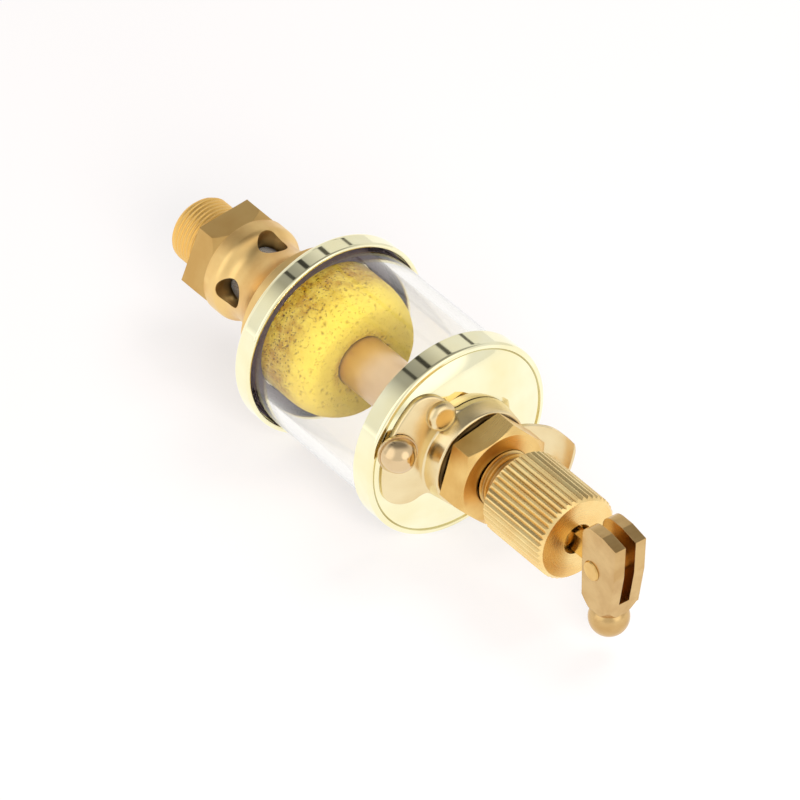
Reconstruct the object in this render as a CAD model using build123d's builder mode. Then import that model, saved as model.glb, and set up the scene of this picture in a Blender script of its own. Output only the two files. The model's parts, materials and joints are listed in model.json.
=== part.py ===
"""Constant-drip oil cup with a sight body, a glass reservoir and a toggle-lever needle valve.

The cup screws into a bearing housing by the stud at its foot. Oil stands in the glass
reservoir, soaks through a foam filter, passes the needle at the valve seat and falls drop by
drop through the sight chamber. Folding the toggle lever down shuts the needle, and standing it
up lifts the needle by an amount set with the knurled nut. A swivelling cover plate closes the
filler hole in the top cap.

Millimetres, +Z up along the cup's axis, origin on the axis at the shoulder of the mounting
stud. The folded lever points along +Y and its pin lies along X.
"""
from build123d import *
from math import acos, asin, cos, degrees, pi, radians, sin, sqrt, tan
import os

os.makedirs("parts", exist_ok=True)

# ---------------------------------------------------------------- driving sizes
# Mounting stud, spanner hexagon and sight body
stud_d = 14.0            # M14 thread, major diameter
stud_len = 10.4
stud_chamfer = 1.2
drip_bore_d = 6.0
hex_af = 20.0            # across flats
hex_h = 5.7
hex_turn = 7.2           # direction of one corner
hex_bevel = 1.6          # on the corners, beside the round part
round_d = 20.7           # round part above the hexagon
shoulder_h = 2.7
shoulder_share = 0.4     # share of the fall to the waist that is convex
waist_d = 17.4
waist_rise = 3.7         # waist above the shoulder
flare_r = 13.0           # concave flare from the waist up to the flange
flange_d = 28.0
flange_h = 6.6
chamber_d = 12.6         # bore for the sight glass
sight_hole_d = 5.9
sight_hole_turn = -10.0  # direction of one sight hole

# Sight glass and valve seat
sight_glass_wall = 1.25
sight_glass_len = 12.4
seal_t = 0.8
nozzle_d = 4.4
nozzle_len = 3.2
orifice_d = 3.0
seat_flange_d = 17.2
seat_flange_h = 2.0
spigot_h = 5.0

# Reservoir
cap_d = 42.0
cap_t = 1.0
bottom_wall_h = 4.9
top_wall_h = 4.8
cap_corner_r = 1.5
gasket_t = 1.2
glass_len = 38.5
glass_wall = 2.3
glass_gap = 0.5          # between the glass and the cap wall
dome_rise = 2.6
land_d = 20.0            # flat land in the middle of the top cap
rim_w = 1.4              # rolled rim outside the dome
filler_d = 6.8
filler_reach = 13.7
tube_d = 10.8
tube_wall = 1.0
feed_hole_d = 2.4

# Foam filter
foam_d = 29.0
foam_edge_h = 7.6
foam_mid_h = 12.6

# Stem, bush and lock nut
neck_d = 12.0            # M12 thread, major diameter
thread_pitch = 1.5
collar_w = 1.2           # collar beyond the thread
socket_len = 5.0
bush_wall = 2.0
bush_h = 5.8
lock_nut_af = 19.0
lock_nut_h = 5.6
lock_nut_turn = 13.0     # direction of one corner

# Cover plate, measured from the axis
plate_t = 0.9
plate_disc_w = 2.4       # level ring round the bush
cover_angle = -21.5      # direction of the middle of the wing and of the filler hole
wing_reach = 18.9
wing_half_angle = 49.5
lobe_r = 4.7
neck_r = 2.4             # concave corners between the lobes and the middle
wing_roll_r = 0.5        # pressed rounding of the wing's upper edge
tab_w = 13.0
tab_reach = 18.2
tab_curl_r = 7.6
knob_d = 7.2
knob_reach = 17.2
boss_d = 6.0
boss_reach = 13.1
boss_angle = -60.0
boss_h = 1.5
rivet_d = 2.8
knob_collar_t = 0.7
knob_collar_w = 0.3
cover_spring_t = 0.35
plate_spring_h = 1.05    # room for the conical spring under the lock nut

# Adjusting nut
turns_down = 3           # travel of the nut, in turns of its thread
nut_d = 18.0
nut_h = 17.8
nut_top_t = 2.9
nut_hole_d = 6.4
nut_chamfer = 0.7
knurl_ridges = 44
knurl_depth = 0.42

# Needle, spring and toggle lever
needle_d = 5.0
needle_cone = 20.0       # half angle of the needle point, degrees
needle_tip_d = 0.8
tongue_t = 2.2
tongue_gap = 0.5         # tongue's root below the nut's face, valve open
pin_d = 3.0
pin_head_d = 4.2
pin_head_t = 0.35
pin_height = 8.8         # pin above the nut's face, valve shut
cam_len = 9.8            # pin to the lever's foot, which lifts the needle
lever_t = 7.2
lever_edge = 2.9         # pin to the edge beside the nut
lever_foot_w = 9.9
lever_foot_slant = 0.9
lever_neck_w = 7.6
lever_heel_r = 3.1
lever_arm = 9.4          # pin to the end of the block at the ball
lever_turned = 2.0       # length turned down beside the ball
lever_end_d = 8.0
slot_end = 6.0           # pin to the bottom of the slot
ball_d = 8.0
ball_reach = 12.2
collar_t = 1.2
spring_wire = 0.8
spring_coils = 7
spring_seat_t = 0.8

# ---------------------------------------------------------------- clearances
run = 0.05               # radial running clearance
fixed = 0.02             # radial clearance of pieces that don't turn on each other
soft = 0.3               # foam to its neighbours
touch = 0.03             # axial gap between faces that rest on each other and move
cheek = 0.1              # lever cheek to needle tongue, each side
foot_gap = 0.12          # lever's foot above the nut's face as it stands up
plate_lift = 0.15        # cover plate above the dome
stop_gap = 0.4           # adjusting nut above the lock nut, screwed right down

# ---------------------------------------------------------------- heights
hex_r = hex_af / sqrt(3)
round_r = round_d / 2
shoulder_z = hex_h + shoulder_h
waist_z = shoulder_z + waist_rise
flare_c = waist_d / 2 + flare_r
flare_turn = acos((flare_c - flange_d / 2) / flare_r)
flare_top_z = waist_z + flare_r * sin(flare_turn)
floor_z = flare_top_z + flange_h                    # underside of the bottom cap
glass_z = floor_z + cap_t + gasket_t
glass_top_z = glass_z + glass_len
corner_z = glass_top_z + gasket_t + cap_t           # rim of the top cap
land_z = corner_z + dome_rise
nut_seat_z = land_z + bush_h                        # underside of the lock nut
disc_z = nut_seat_z - plate_spring_h                # top of the cover's middle
lock_top_z = nut_seat_z + lock_nut_h
travel = turns_down * thread_pitch
nut_z = lock_top_z + travel + stop_gap              # underside of the adjusting nut
nut_top_z = nut_z + nut_h
pin_z = nut_top_z + pin_height
lift = cam_len + foot_gap - pin_height                 # needle's travel as the lever stands up

sight_top_z = hex_h + 2 * seal_t + sight_glass_len
gasket_top_z = floor_z + cap_t + seal_t
tube_z = gasket_top_z + seat_flange_h
seat_z = tube_z + spigot_h

spring_seat_z = nut_top_z - nut_top_t - touch - spring_seat_t
stem_top_z = spring_seat_z - travel - 1.0
guide_top_z = nut_seat_z + 3.0
needle_collar_z = guide_top_z + 0.5
collar_z = land_z - cap_t - 2.2                     # top of the stem's collar
socket_z = collar_z - 1.6                           # top of the centre tube's socket

# ---------------------------------------------------------------- radii
wall_in_d = cap_d - 2 * cap_t
glass_d = wall_in_d - 2 * glass_gap
glass_in_d = glass_d - 2 * glass_wall
gasket_in_d = glass_in_d - 0.4                       # top gasket
floor_gasket_in_d = foam_d + 2 * soft                # bottom gasket, in as far as the foam
tube_in_d = tube_d - 2 * tube_wall
sight_glass_r = chamber_d / 2 - run
sight_bore_r = sight_glass_r - sight_glass_wall
spring_bore_r = neck_d / 2 - 1.6
needle_r = needle_d / 2
collar_d = neck_d + 2 * collar_w
bush_d = neck_d + 2 * bush_wall
plate_disc_d = bush_d + 2 * plate_disc_w
skirt_foot_r = plate_disc_d / 2 + 0.5

# The dome of the top cap is an arc of revolution, level where it meets the land.
dome_edge = cap_d / 2 - rim_w
dome_drop = dome_rise + 0.1
dome_r = ((dome_edge - land_d / 2) ** 2 + dome_drop**2) / (2 * dome_drop)


def dome_height(reach, above):
    """Height, at a reach from the axis, of the surface that lies this far above the dome."""
    return land_z - dome_r + sqrt((dome_r + above) ** 2 - (reach - land_d / 2) ** 2)


def reach_of(point):
    """Distance of a point from the cup's axis."""
    return sqrt(point.X**2 + point.Y**2)


def wing_plane(reach, angle):
    """Plane on the upper face of the cover's wing at a reach and direction, normal outwards."""
    slope = asin((reach - land_d / 2) / (dome_r + plate_lift + plate_t))
    out = Vector(cos(radians(angle)), sin(radians(angle)), 0)
    up = Vector(0, 0, 1)
    return Plane(
        origin=out * reach + up * dome_height(reach, plate_lift + plate_t),
        x_dir=out * cos(slope) - up * sin(slope),
        z_dir=out * sin(slope) + up * cos(slope),
    )


def upright(plane):
    """Plane that stands on another along its x direction, for a profile revolved about z."""
    return Plane(origin=plane.origin, x_dir=plane.x_dir, z_dir=-plane.y_dir)


# ---------------------------------------------------------------- sight body
with BuildPart() as body:
    with BuildSketch(Plane.XZ):
        with BuildLine():
            foot = Polyline(
                (drip_bore_d / 2, -stud_len),
                (stud_d / 2 - stud_chamfer, -stud_len),
                (stud_d / 2, -stud_len + stud_chamfer),
                (stud_d / 2, 0),
                (hex_r, 0),
                (hex_r, hex_h - hex_bevel),
                (round_r, hex_h),
                (round_r, shoulder_z),
            )
            # round shoulder, cove down to the waist, then the flare up to the flange
            waist = Vector(waist_d / 2, waist_z)
            turn_over = foot @ 1 + (waist - foot @ 1) * shoulder_share
            shoulder = TangentArc(foot @ 1, turn_over, tangent=(0, 1))
            cove = TangentArc(waist, shoulder @ 1, tangent=(0, -1))
            flare = ThreePointArc(
                cove @ 0,
                (flare_c - flare_r * cos(flare_turn / 2), waist_z + flare_r * sin(flare_turn / 2)),
                (flange_d / 2, flare_top_z),
            )
            Polyline(
                flare @ 1,
                (flange_d / 2, floor_z),
                (chamber_d / 2, floor_z),
                (chamber_d / 2, hex_h),
                (drip_bore_d / 2, hex_h),
                foot @ 0,
            )
        make_face()
    revolve(axis=Axis.Z)
    # spanner flats
    with BuildSketch(Plane.XY):
        Circle(hex_af)
        RegularPolygon(
            hex_af / 2, 6, major_radius=False, rotation=hex_turn, mode=Mode.SUBTRACT
        )
    extrude(amount=hex_h, mode=Mode.SUBTRACT)
    # two drillings cross at the waist and make the four sight holes
    for turn in (sight_hole_turn, sight_hole_turn + 90):
        with BuildSketch(Plane.XZ.rotated((0, 0, turn))):
            with Locations((0, waist_z)):
                Circle(sight_hole_d / 2)
        extrude(amount=flange_d / 2, both=True, mode=Mode.SUBTRACT)
body.part.label = "sight_body"
export_step(body.part, "parts/sight_body.step")

# ---------------------------------------------------------------- sight glass and its seals
with BuildPart() as sight_glass:
    with BuildSketch(Plane.XY.offset(hex_h + seal_t)):
        Circle(sight_glass_r)
        Circle(sight_bore_r, mode=Mode.SUBTRACT)
    extrude(amount=sight_glass_len)
sight_glass.part.label = "sight_glass"
export_step(sight_glass.part, "parts/sight_glass.step")

for seal_name, seal_z in (
    ("sight_seal_lower", hex_h),
    ("sight_seal_upper", sight_top_z - seal_t),
):
    with BuildPart() as sight_seal:
        with BuildSketch(Plane.XY.offset(seal_z)):
            Circle(sight_glass_r)
            Circle(sight_bore_r - 0.3, mode=Mode.SUBTRACT)
        extrude(amount=seal_t)
    sight_seal.part.label = seal_name
    export_step(sight_seal.part, f"parts/{seal_name}.step")

# ---------------------------------------------------------------- valve seat
with BuildPart() as valve_seat:
    nozzle_z = sight_top_z - nozzle_len
    with BuildSketch(Plane.XZ):
        with BuildLine():
            Polyline(
                (orifice_d / 2, nozzle_z),
                (nozzle_d / 2 - 0.4, nozzle_z),
                (nozzle_d / 2, nozzle_z + 1.0),
                (nozzle_d / 2, sight_top_z),
                (chamber_d / 2 - fixed, sight_top_z),
                (chamber_d / 2 - fixed, gasket_top_z),
                (seat_flange_d / 2, gasket_top_z),
                (seat_flange_d / 2, tube_z),
                (tube_in_d / 2 - fixed, tube_z),
                (tube_in_d / 2 - fixed, seat_z),
                (orifice_d / 2, seat_z),
                close=True,
            )
        make_face()
    revolve(axis=Axis.Z)
valve_seat.part.label = "valve_seat"
export_step(valve_seat.part, "parts/valve_seat.step")

with BuildPart() as seat_gasket:
    with BuildSketch(Plane.XY.offset(floor_z + cap_t)):
        Circle(seat_flange_d / 2)
        Circle(chamber_d / 2 + run, mode=Mode.SUBTRACT)
    extrude(amount=seal_t)
seat_gasket.part.label = "seat_gasket"
export_step(seat_gasket.part, "parts/seat_gasket.step")

# ---------------------------------------------------------------- reservoir
with BuildPart() as bottom_cap:
    with BuildSketch(Plane.XZ):
        with BuildLine():
            lip_z = floor_z + bottom_wall_h
            base = Polyline(
                (chamber_d / 2 + run, floor_z + cap_t),
                (chamber_d / 2 + run, floor_z),
                (cap_d / 2 - cap_corner_r, floor_z),
            )
            corner = TangentArc(base @ 1, (cap_d / 2, floor_z + cap_corner_r), tangent=(1, 0))
            outside = Line(corner @ 1, (cap_d / 2, lip_z - cap_t / 2))
            lip = TangentArc(outside @ 1, (wall_in_d / 2, lip_z - cap_t / 2), tangent=(0, 1))
            Polyline(lip @ 1, (wall_in_d / 2, floor_z + cap_t), base @ 0)
        make_face()
    revolve(axis=Axis.Z)
bottom_cap.part.label = "bottom_cap"
export_step(bottom_cap.part, "parts/bottom_cap.step")

for gasket_name, gasket_z, bore_d in (
    ("bottom_gasket", floor_z + cap_t, floor_gasket_in_d),
    ("top_gasket", glass_top_z, gasket_in_d),
):
    with BuildPart() as gasket:
        with BuildSketch(Plane.XY.offset(gasket_z)):
            Circle(wall_in_d / 2 - 0.2)
            Circle(bore_d / 2, mode=Mode.SUBTRACT)
        extrude(amount=gasket_t)
    gasket.part.label = gasket_name
    export_step(gasket.part, f"parts/{gasket_name}.step")

with BuildPart() as reservoir_glass:
    with BuildSketch(Plane.XY.offset(glass_z)):
        Circle(glass_d / 2)
        Circle(glass_in_d / 2, mode=Mode.SUBTRACT)
    extrude(amount=glass_len)
    # ground ends
    chamfer(reservoir_glass.edges().filter_by(GeomType.CIRCLE), 0.1 * glass_wall)
reservoir_glass.part.label = "reservoir_glass"
export_step(reservoir_glass.part, "parts/reservoir_glass.step")

with BuildPart() as top_cap:
    shelf_z = corner_z - cap_t
    shelf_r = gasket_in_d / 2
    bore_r = neck_d / 2 + run
    with BuildSketch(Plane.XZ):
        with BuildLine():
            wall = Polyline(
                (wall_in_d / 2, shelf_z),
                (wall_in_d / 2, corner_z - top_wall_h),
                (cap_d / 2, corner_z - top_wall_h),
                (cap_d / 2, corner_z - rim_w / 2),
            )
            # rolled rim, then a fine groove at the foot of the dome
            rim = TangentArc(wall @ 1, (cap_d / 2 - rim_w / 2, corner_z), tangent=(0, 1))
            groove = Polyline(
                rim @ 1,
                (dome_edge + 0.25 * rim_w, corner_z),
                (dome_edge + 0.1 * rim_w, corner_z - 0.25 * rim_w),
                (dome_edge, land_z - dome_drop),
            )
            dome = TangentArc((land_d / 2, land_z), groove @ 1, tangent=(1, 0))
            hole = Polyline(
                dome @ 0,
                (bore_r, land_z),
                (bore_r, land_z - cap_t),
                (land_d / 2, land_z - cap_t),
            )
            inside = TangentArc(hole @ 1, (shelf_r, dome_height(shelf_r, -cap_t)), tangent=(1, 0))
            Polyline(inside @ 1, (shelf_r, shelf_z), wall @ 0)
        make_face()
    revolve(axis=Axis.Z)
    with BuildSketch(Plane.XY.offset(shelf_z)):
        with PolarLocations(filler_reach, 1, start_angle=cover_angle):
            Circle(filler_d / 2)
    extrude(amount=land_z - shelf_z, mode=Mode.SUBTRACT)
top_cap.part.label = "top_cap"
export_step(top_cap.part, "parts/top_cap.step")

# ---------------------------------------------------------------- foam filter
with BuildPart() as foam_filter:
    foam_z = floor_z + cap_t + soft
    bore_r = tube_d / 2 + soft
    relief_r = seat_flange_d / 2 + soft
    with BuildSketch(Plane.XZ):
        with BuildLine():
            sides = Polyline(
                (bore_r, foam_z + foam_mid_h),
                (bore_r, tube_z + soft),
                (relief_r, tube_z + soft),
                (relief_r, foam_z),
                (foam_d / 2, foam_z),
                (foam_d / 2, foam_z + foam_edge_h),
            )
            TangentArc(sides @ 1, sides @ 0, tangent=(0, 1))
        make_face()
    revolve(axis=Axis.Z)
foam_filter.part.label = "foam_filter"
export_step(foam_filter.part, "parts/foam_filter.step")

# ---------------------------------------------------------------- centre tube and stem
with BuildPart() as centre_tube:
    with BuildSketch(Plane.XY.offset(tube_z)):
        Circle(tube_d / 2)
        Circle(tube_in_d / 2, mode=Mode.SUBTRACT)
    extrude(amount=socket_z - touch - tube_z)
    # feed holes just above the valve seat
    for drilling in (Plane.XZ, Plane.YZ):
        with BuildSketch(drilling):
            with Locations((0, seat_z + feed_hole_d)):
                Circle(feed_hole_d / 2)
        extrude(amount=tube_d, both=True, mode=Mode.SUBTRACT)
centre_tube.part.label = "centre_tube"
export_step(centre_tube.part, "parts/centre_tube.step")

with BuildPart() as stem:
    with BuildSketch(Plane.XZ):
        with BuildLine():
            Polyline(
                (needle_r + run, socket_z),
                (tube_d / 2 + fixed, socket_z),
                (tube_d / 2 + fixed, socket_z - socket_len),
                (collar_d / 2, socket_z - socket_len),
                (collar_d / 2, collar_z),
                (neck_d / 2, collar_z),
                (neck_d / 2, stem_top_z - 0.8),
                (neck_d / 2 - 0.8, stem_top_z),
                (spring_bore_r, stem_top_z),
                (spring_bore_r, guide_top_z),
                (needle_r + run, guide_top_z),
                close=True,
            )
        make_face()
    revolve(axis=Axis.Z)
stem.part.label = "stem"
export_step(stem.part, "parts/stem.step")

with BuildPart() as clamp_bush:
    with BuildSketch(Plane.XY.offset(land_z)):
        Circle(bush_d / 2)
        Circle(neck_d / 2 + run, mode=Mode.SUBTRACT)
    extrude(amount=bush_h)
clamp_bush.part.label = "clamp_bush"
export_step(clamp_bush.part, "parts/clamp_bush.step")

with BuildPart() as lock_nut:
    flat_r = lock_nut_af / 2
    beyond_r = 1.25 * flat_r
    with BuildSketch(Plane.XY.offset(nut_seat_z)):
        RegularPolygon(flat_r, 6, major_radius=False, rotation=lock_nut_turn)
    extrude(amount=lock_nut_h)
    # 30 degree chamfer round the top corners, down to the flats
    with BuildSketch(Plane.XZ):
        with BuildLine():
            Polyline(
                (0, nut_seat_z),
                (beyond_r, nut_seat_z),
                (beyond_r, lock_top_z - (beyond_r - flat_r + 0.2) * tan(radians(30))),
                (flat_r - 0.2, lock_top_z),
                (0, lock_top_z),
                close=True,
            )
        make_face()
    revolve(axis=Axis.Z, mode=Mode.INTERSECT)
    with BuildSketch(Plane.XY.offset(nut_seat_z)):
        Circle(neck_d / 2 + run)
    extrude(amount=lock_nut_h, mode=Mode.SUBTRACT)
lock_nut.part.label = "lock_nut"
export_step(lock_nut.part, "parts/lock_nut.step")

# ---------------------------------------------------------------- cover plate
with BuildPart() as thumb_tab:
    # a strip that leaves the middle of the plate level and curls up
    curl = asin((tab_reach - skirt_foot_r) / tab_curl_r)
    curl_cz = disc_z + tab_curl_r
    root_r = plate_disc_d / 2 - 1.5
    under_r = tab_curl_r + plate_t
    with BuildSketch(Plane.XZ):
        with BuildLine():
            root = Polyline(
                (skirt_foot_r, disc_z),
                (root_r, disc_z),
                (root_r, disc_z - plate_t),
                (skirt_foot_r, disc_z - plate_t),
            )
            under = TangentArc(
                root @ 1,
                (skirt_foot_r + under_r * sin(curl), curl_cz - under_r * cos(curl)),
                tangent=(1, 0),
            )
            over = TangentArc(
                root @ 0,
                (skirt_foot_r + tab_curl_r * sin(curl), curl_cz - tab_curl_r * cos(curl)),
                tangent=(1, 0),
            )
            Line(under @ 1, over @ 1)
        make_face()
    revolve(axis=Axis.Z)
    # its outline from above, with a rounded end
    tab_len = skirt_foot_r + under_r * sin(curl)
    with BuildSketch(Plane.XY.offset(land_z)):
        with PolarLocations(tab_len / 2, 1, start_angle=cover_angle + 180):
            RectangleRounded(tab_len, tab_w, 0.4 * tab_w)
    extrude(amount=tab_len, mode=Mode.INTERSECT)

with BuildPart() as cover_plate:
    foot_in_r = skirt_foot_r - plate_t
    half_way = (wing_reach + skirt_foot_r) / 2
    plate_top = plate_lift + plate_t
    with BuildSketch(Plane.XZ):
        with BuildLine():
            middle = Polyline(
                (foot_in_r, dome_height(foot_in_r, plate_lift)),
                (plate_disc_d / 2 - plate_t, disc_z - plate_t),
                (bush_d / 2 + run, disc_z - plate_t),
                (bush_d / 2 + run, disc_z),
                (plate_disc_d / 2, disc_z),
                (skirt_foot_r, dome_height(skirt_foot_r, plate_top)),
            )
            upper = ThreePointArc(
                middle @ 1,
                (half_way, dome_height(half_way, plate_top)),
                (wing_reach, dome_height(wing_reach, plate_top)),
            )
            lower = ThreePointArc(
                middle @ 0,
                (half_way, dome_height(half_way, plate_lift)),
                (wing_reach, dome_height(wing_reach, plate_lift)),
            )
            Line(upper @ 1, lower @ 1)
        make_face()
        # soft bends at the shoulder and at the foot of the pressed middle
        bends = [
            vertex
            for vertex in vertices()
            if vertex.X > bush_d / 2 + 1 and vertex.X < skirt_foot_r + run
        ]
        fillet(bends, 0.5 * plate_t)
    revolve(axis=Axis.Z)
    # the wing's outline: a lobe at each end, drawn in to the middle of the plate
    lobe_reach = wing_reach - lobe_r
    lobe_angle = wing_half_angle - degrees(asin(lobe_r / lobe_reach))
    with BuildSketch(Plane.XY.offset(corner_z - cap_t)):
        Circle(skirt_foot_r)
        with PolarLocations(lobe_reach, 2, cover_angle - lobe_angle, 2 * lobe_angle, endpoint=True):
            Circle(lobe_r)
        with BuildLine():
            edge = CenterArc((0, 0), wing_reach, cover_angle - lobe_angle, 2 * lobe_angle)
            Polyline(edge @ 1, (0, 0), edge @ 0)
        make_face()
        necks = [vertex for vertex in vertices() if abs(reach_of(vertex) - skirt_foot_r) < run]
        fillet(necks, neck_r)
    extrude(amount=disc_z - corner_z + 2 * cap_t, mode=Mode.INTERSECT)
    # the press rolls the wing's upper edge over
    rolled = []
    for edge in cover_plate.edges():
        spot = edge @ 0.5
        outside_middle = reach_of(spot) > skirt_foot_r + run
        if outside_middle and spot.Z > dome_height(reach_of(spot), plate_top) - run:
            rolled.append(edge)
    fillet(rolled, wing_roll_r)
    add(thumb_tab.part)
    # pressed boss near one corner of the wing
    boss_plane = wing_plane(boss_reach, boss_angle)
    boss_edge_r = boss_d / 2 - 0.8 * boss_h
    with BuildSketch(upright(boss_plane)):
        with BuildLine():
            wall = Polyline(
                (0, -plate_t / 2),
                (boss_d / 2, -plate_t / 2),
                (boss_d / 2, 0.2 * boss_h),
            )
            brow = TangentArc(wall @ 1, (boss_edge_r, boss_h), tangent=(0, 1))
            Polyline(brow @ 1, (0, boss_h), wall @ 0)
        make_face()
    revolve(axis=Axis(boss_plane.origin, boss_plane.z_dir))
    # hole for the knob's rivet
    knob_plane = wing_plane(knob_reach, cover_angle)
    with BuildSketch(knob_plane.offset(-2 * plate_t)):
        Circle(rivet_d / 2 + fixed)
    extrude(amount=4 * plate_t, mode=Mode.SUBTRACT)
cover_plate.part.label = "cover_plate"
export_step(cover_plate.part, "parts/cover_plate.step")

with BuildPart() as cover_knob:
    # half ball on a low collar, riveted through the wing and square to it
    collar_r = knob_d / 2 + knob_collar_w
    with BuildSketch(upright(knob_plane)):
        with BuildLine():
            ball = CenterArc((0, knob_collar_t), knob_d / 2, 0, 90)
            Polyline(
                ball @ 1,
                (0, touch - plate_t),
                (rivet_d / 2, touch - plate_t),
                (rivet_d / 2, touch),
                (collar_r, touch),
                (collar_r, knob_collar_t),
                ball @ 0,
            )
        make_face()
    revolve(axis=Axis(knob_plane.origin, knob_plane.z_dir))
cover_knob.part.label = "cover_knob"
export_step(cover_knob.part, "parts/cover_knob.step")

with BuildPart() as cover_spring:
    # conical spring washer between the plate's middle and the lock nut
    inner_r = bush_d / 2 + 0.3
    outer_r = plate_disc_d / 2 - 0.6
    with BuildSketch(Plane.XZ):
        with BuildLine():
            Polyline(
                (inner_r, nut_seat_z - touch - cover_spring_t),
                (inner_r, nut_seat_z - touch),
                (outer_r, disc_z + touch + cover_spring_t),
                (outer_r, disc_z + touch),
                close=True,
            )
        make_face()
    revolve(axis=Axis.Z)
cover_spring.part.label = "cover_spring"
export_step(cover_spring.part, "parts/cover_spring.step")

# ---------------------------------------------------------------- adjusting nut
with BuildPart() as adjusting_nut:
    with BuildSketch(Plane.XY.offset(nut_z)):
        Circle(nut_d / 2)
        # straight knurl: a V groove between each two ridges
        pitch = pi * nut_d / knurl_ridges
        with PolarLocations(nut_d / 2, knurl_ridges):
            Polygon(
                (-knurl_depth, 0),
                (knurl_depth, 0.8 * pitch),
                (knurl_depth, -0.8 * pitch),
                align=None,
                mode=Mode.SUBTRACT,
            )
    extrude(amount=nut_h)
    # bevel at both ends
    with BuildSketch(Plane.XZ):
        with BuildLine():
            Polyline(
                (0, nut_z),
                (nut_d / 2 - nut_chamfer, nut_z),
                (nut_d / 2 + 0.1, nut_z + nut_chamfer + 0.1),
                (nut_d / 2 + 0.1, nut_top_z - nut_chamfer - 0.1),
                (nut_d / 2 - nut_chamfer, nut_top_z),
                (0, nut_top_z),
                close=True,
            )
        make_face()
    revolve(axis=Axis.Z, mode=Mode.INTERSECT)
    with BuildSketch(Plane.XY.offset(nut_z)):
        Circle(neck_d / 2 + run)
    extrude(amount=nut_h - nut_top_t, mode=Mode.SUBTRACT)
    with BuildSketch(Plane.XY.offset(nut_z)):
        Circle(nut_hole_d / 2)
    extrude(amount=nut_h, mode=Mode.SUBTRACT)
adjusting_nut.part.label = "adjusting_nut"
export_step(adjusting_nut.part, "parts/adjusting_nut.step")

with BuildPart() as spring_seat:
    with BuildSketch(Plane.XY.offset(spring_seat_z)):
        Circle(neck_d / 2 - 0.3)
        Circle(needle_r + 0.3, mode=Mode.SUBTRACT)
    extrude(amount=spring_seat_t)
spring_seat.part.label = "spring_seat"
export_step(spring_seat.part, "parts/spring_seat.step")

# ---------------------------------------------------------------- needle and its spring
with BuildPart() as needle:
    slope = tan(radians(needle_cone))
    seat_r = orifice_d / 2 - touch
    tip_z = seat_z - (seat_r - needle_tip_d / 2) / slope
    full_z = seat_z + (needle_r - seat_r) / slope
    tongue_z = nut_top_z - lift - tongue_gap
    with BuildSketch(Plane.XZ):
        with BuildLine():
            Polyline(
                (0, tip_z),
                (needle_tip_d / 2, tip_z),
                (needle_r, full_z),
                (needle_r, pin_z + needle_r),
                (0, pin_z + needle_r),
                close=True,
            )
        make_face()
    revolve(axis=Axis.Z)
    # tongue between the lever's cheeks, rounded over the pin
    with BuildSketch(Plane.XY.offset(tongue_z)):
        Rectangle(needle_d + 1, needle_d + 1)
        Rectangle(tongue_t, needle_d + 1, mode=Mode.SUBTRACT)
    extrude(amount=pin_z + needle_d - tongue_z, mode=Mode.SUBTRACT)
    with BuildSketch(Plane.YZ):
        with Locations((0, pin_z)):
            Rectangle(needle_d + 1, needle_d + 1, align=(Align.CENTER, Align.MIN))
            Circle(needle_r, mode=Mode.SUBTRACT)
    extrude(amount=needle_d, both=True, mode=Mode.SUBTRACT)
    with BuildSketch(Plane.YZ):
        with Locations((0, pin_z)):
            Circle(pin_d / 2 + run)
    extrude(amount=needle_d, both=True, mode=Mode.SUBTRACT)
needle.part.label = "needle"
export_step(needle.part, "parts/needle.step")

with BuildPart() as needle_collar:
    with BuildSketch(Plane.XY.offset(needle_collar_z)):
        Circle(spring_bore_r - 0.2)
        Circle(needle_r + fixed, mode=Mode.SUBTRACT)
    extrude(amount=collar_t)
needle_collar.part.label = "needle_collar"
export_step(needle_collar.part, "parts/needle_collar.step")

with BuildPart() as needle_spring:
    coil_r = spring_bore_r - 0.25 - spring_wire / 2
    coil_z = needle_collar_z + collar_t + spring_wire / 2 + touch
    coil_len = spring_seat_z - spring_wire / 2 - touch - coil_z
    with BuildLine():
        coil = Helix(pitch=coil_len / spring_coils, height=coil_len, radius=coil_r, center=(0, 0, coil_z))
    with BuildSketch(Plane(origin=coil @ 0, z_dir=coil % 0)):
        RegularPolygon(spring_wire / 2, 6)
    sweep(is_frenet=True)
needle_spring.part.label = "needle_spring"
export_step(needle_spring.part, "parts/needle_spring.step")

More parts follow.
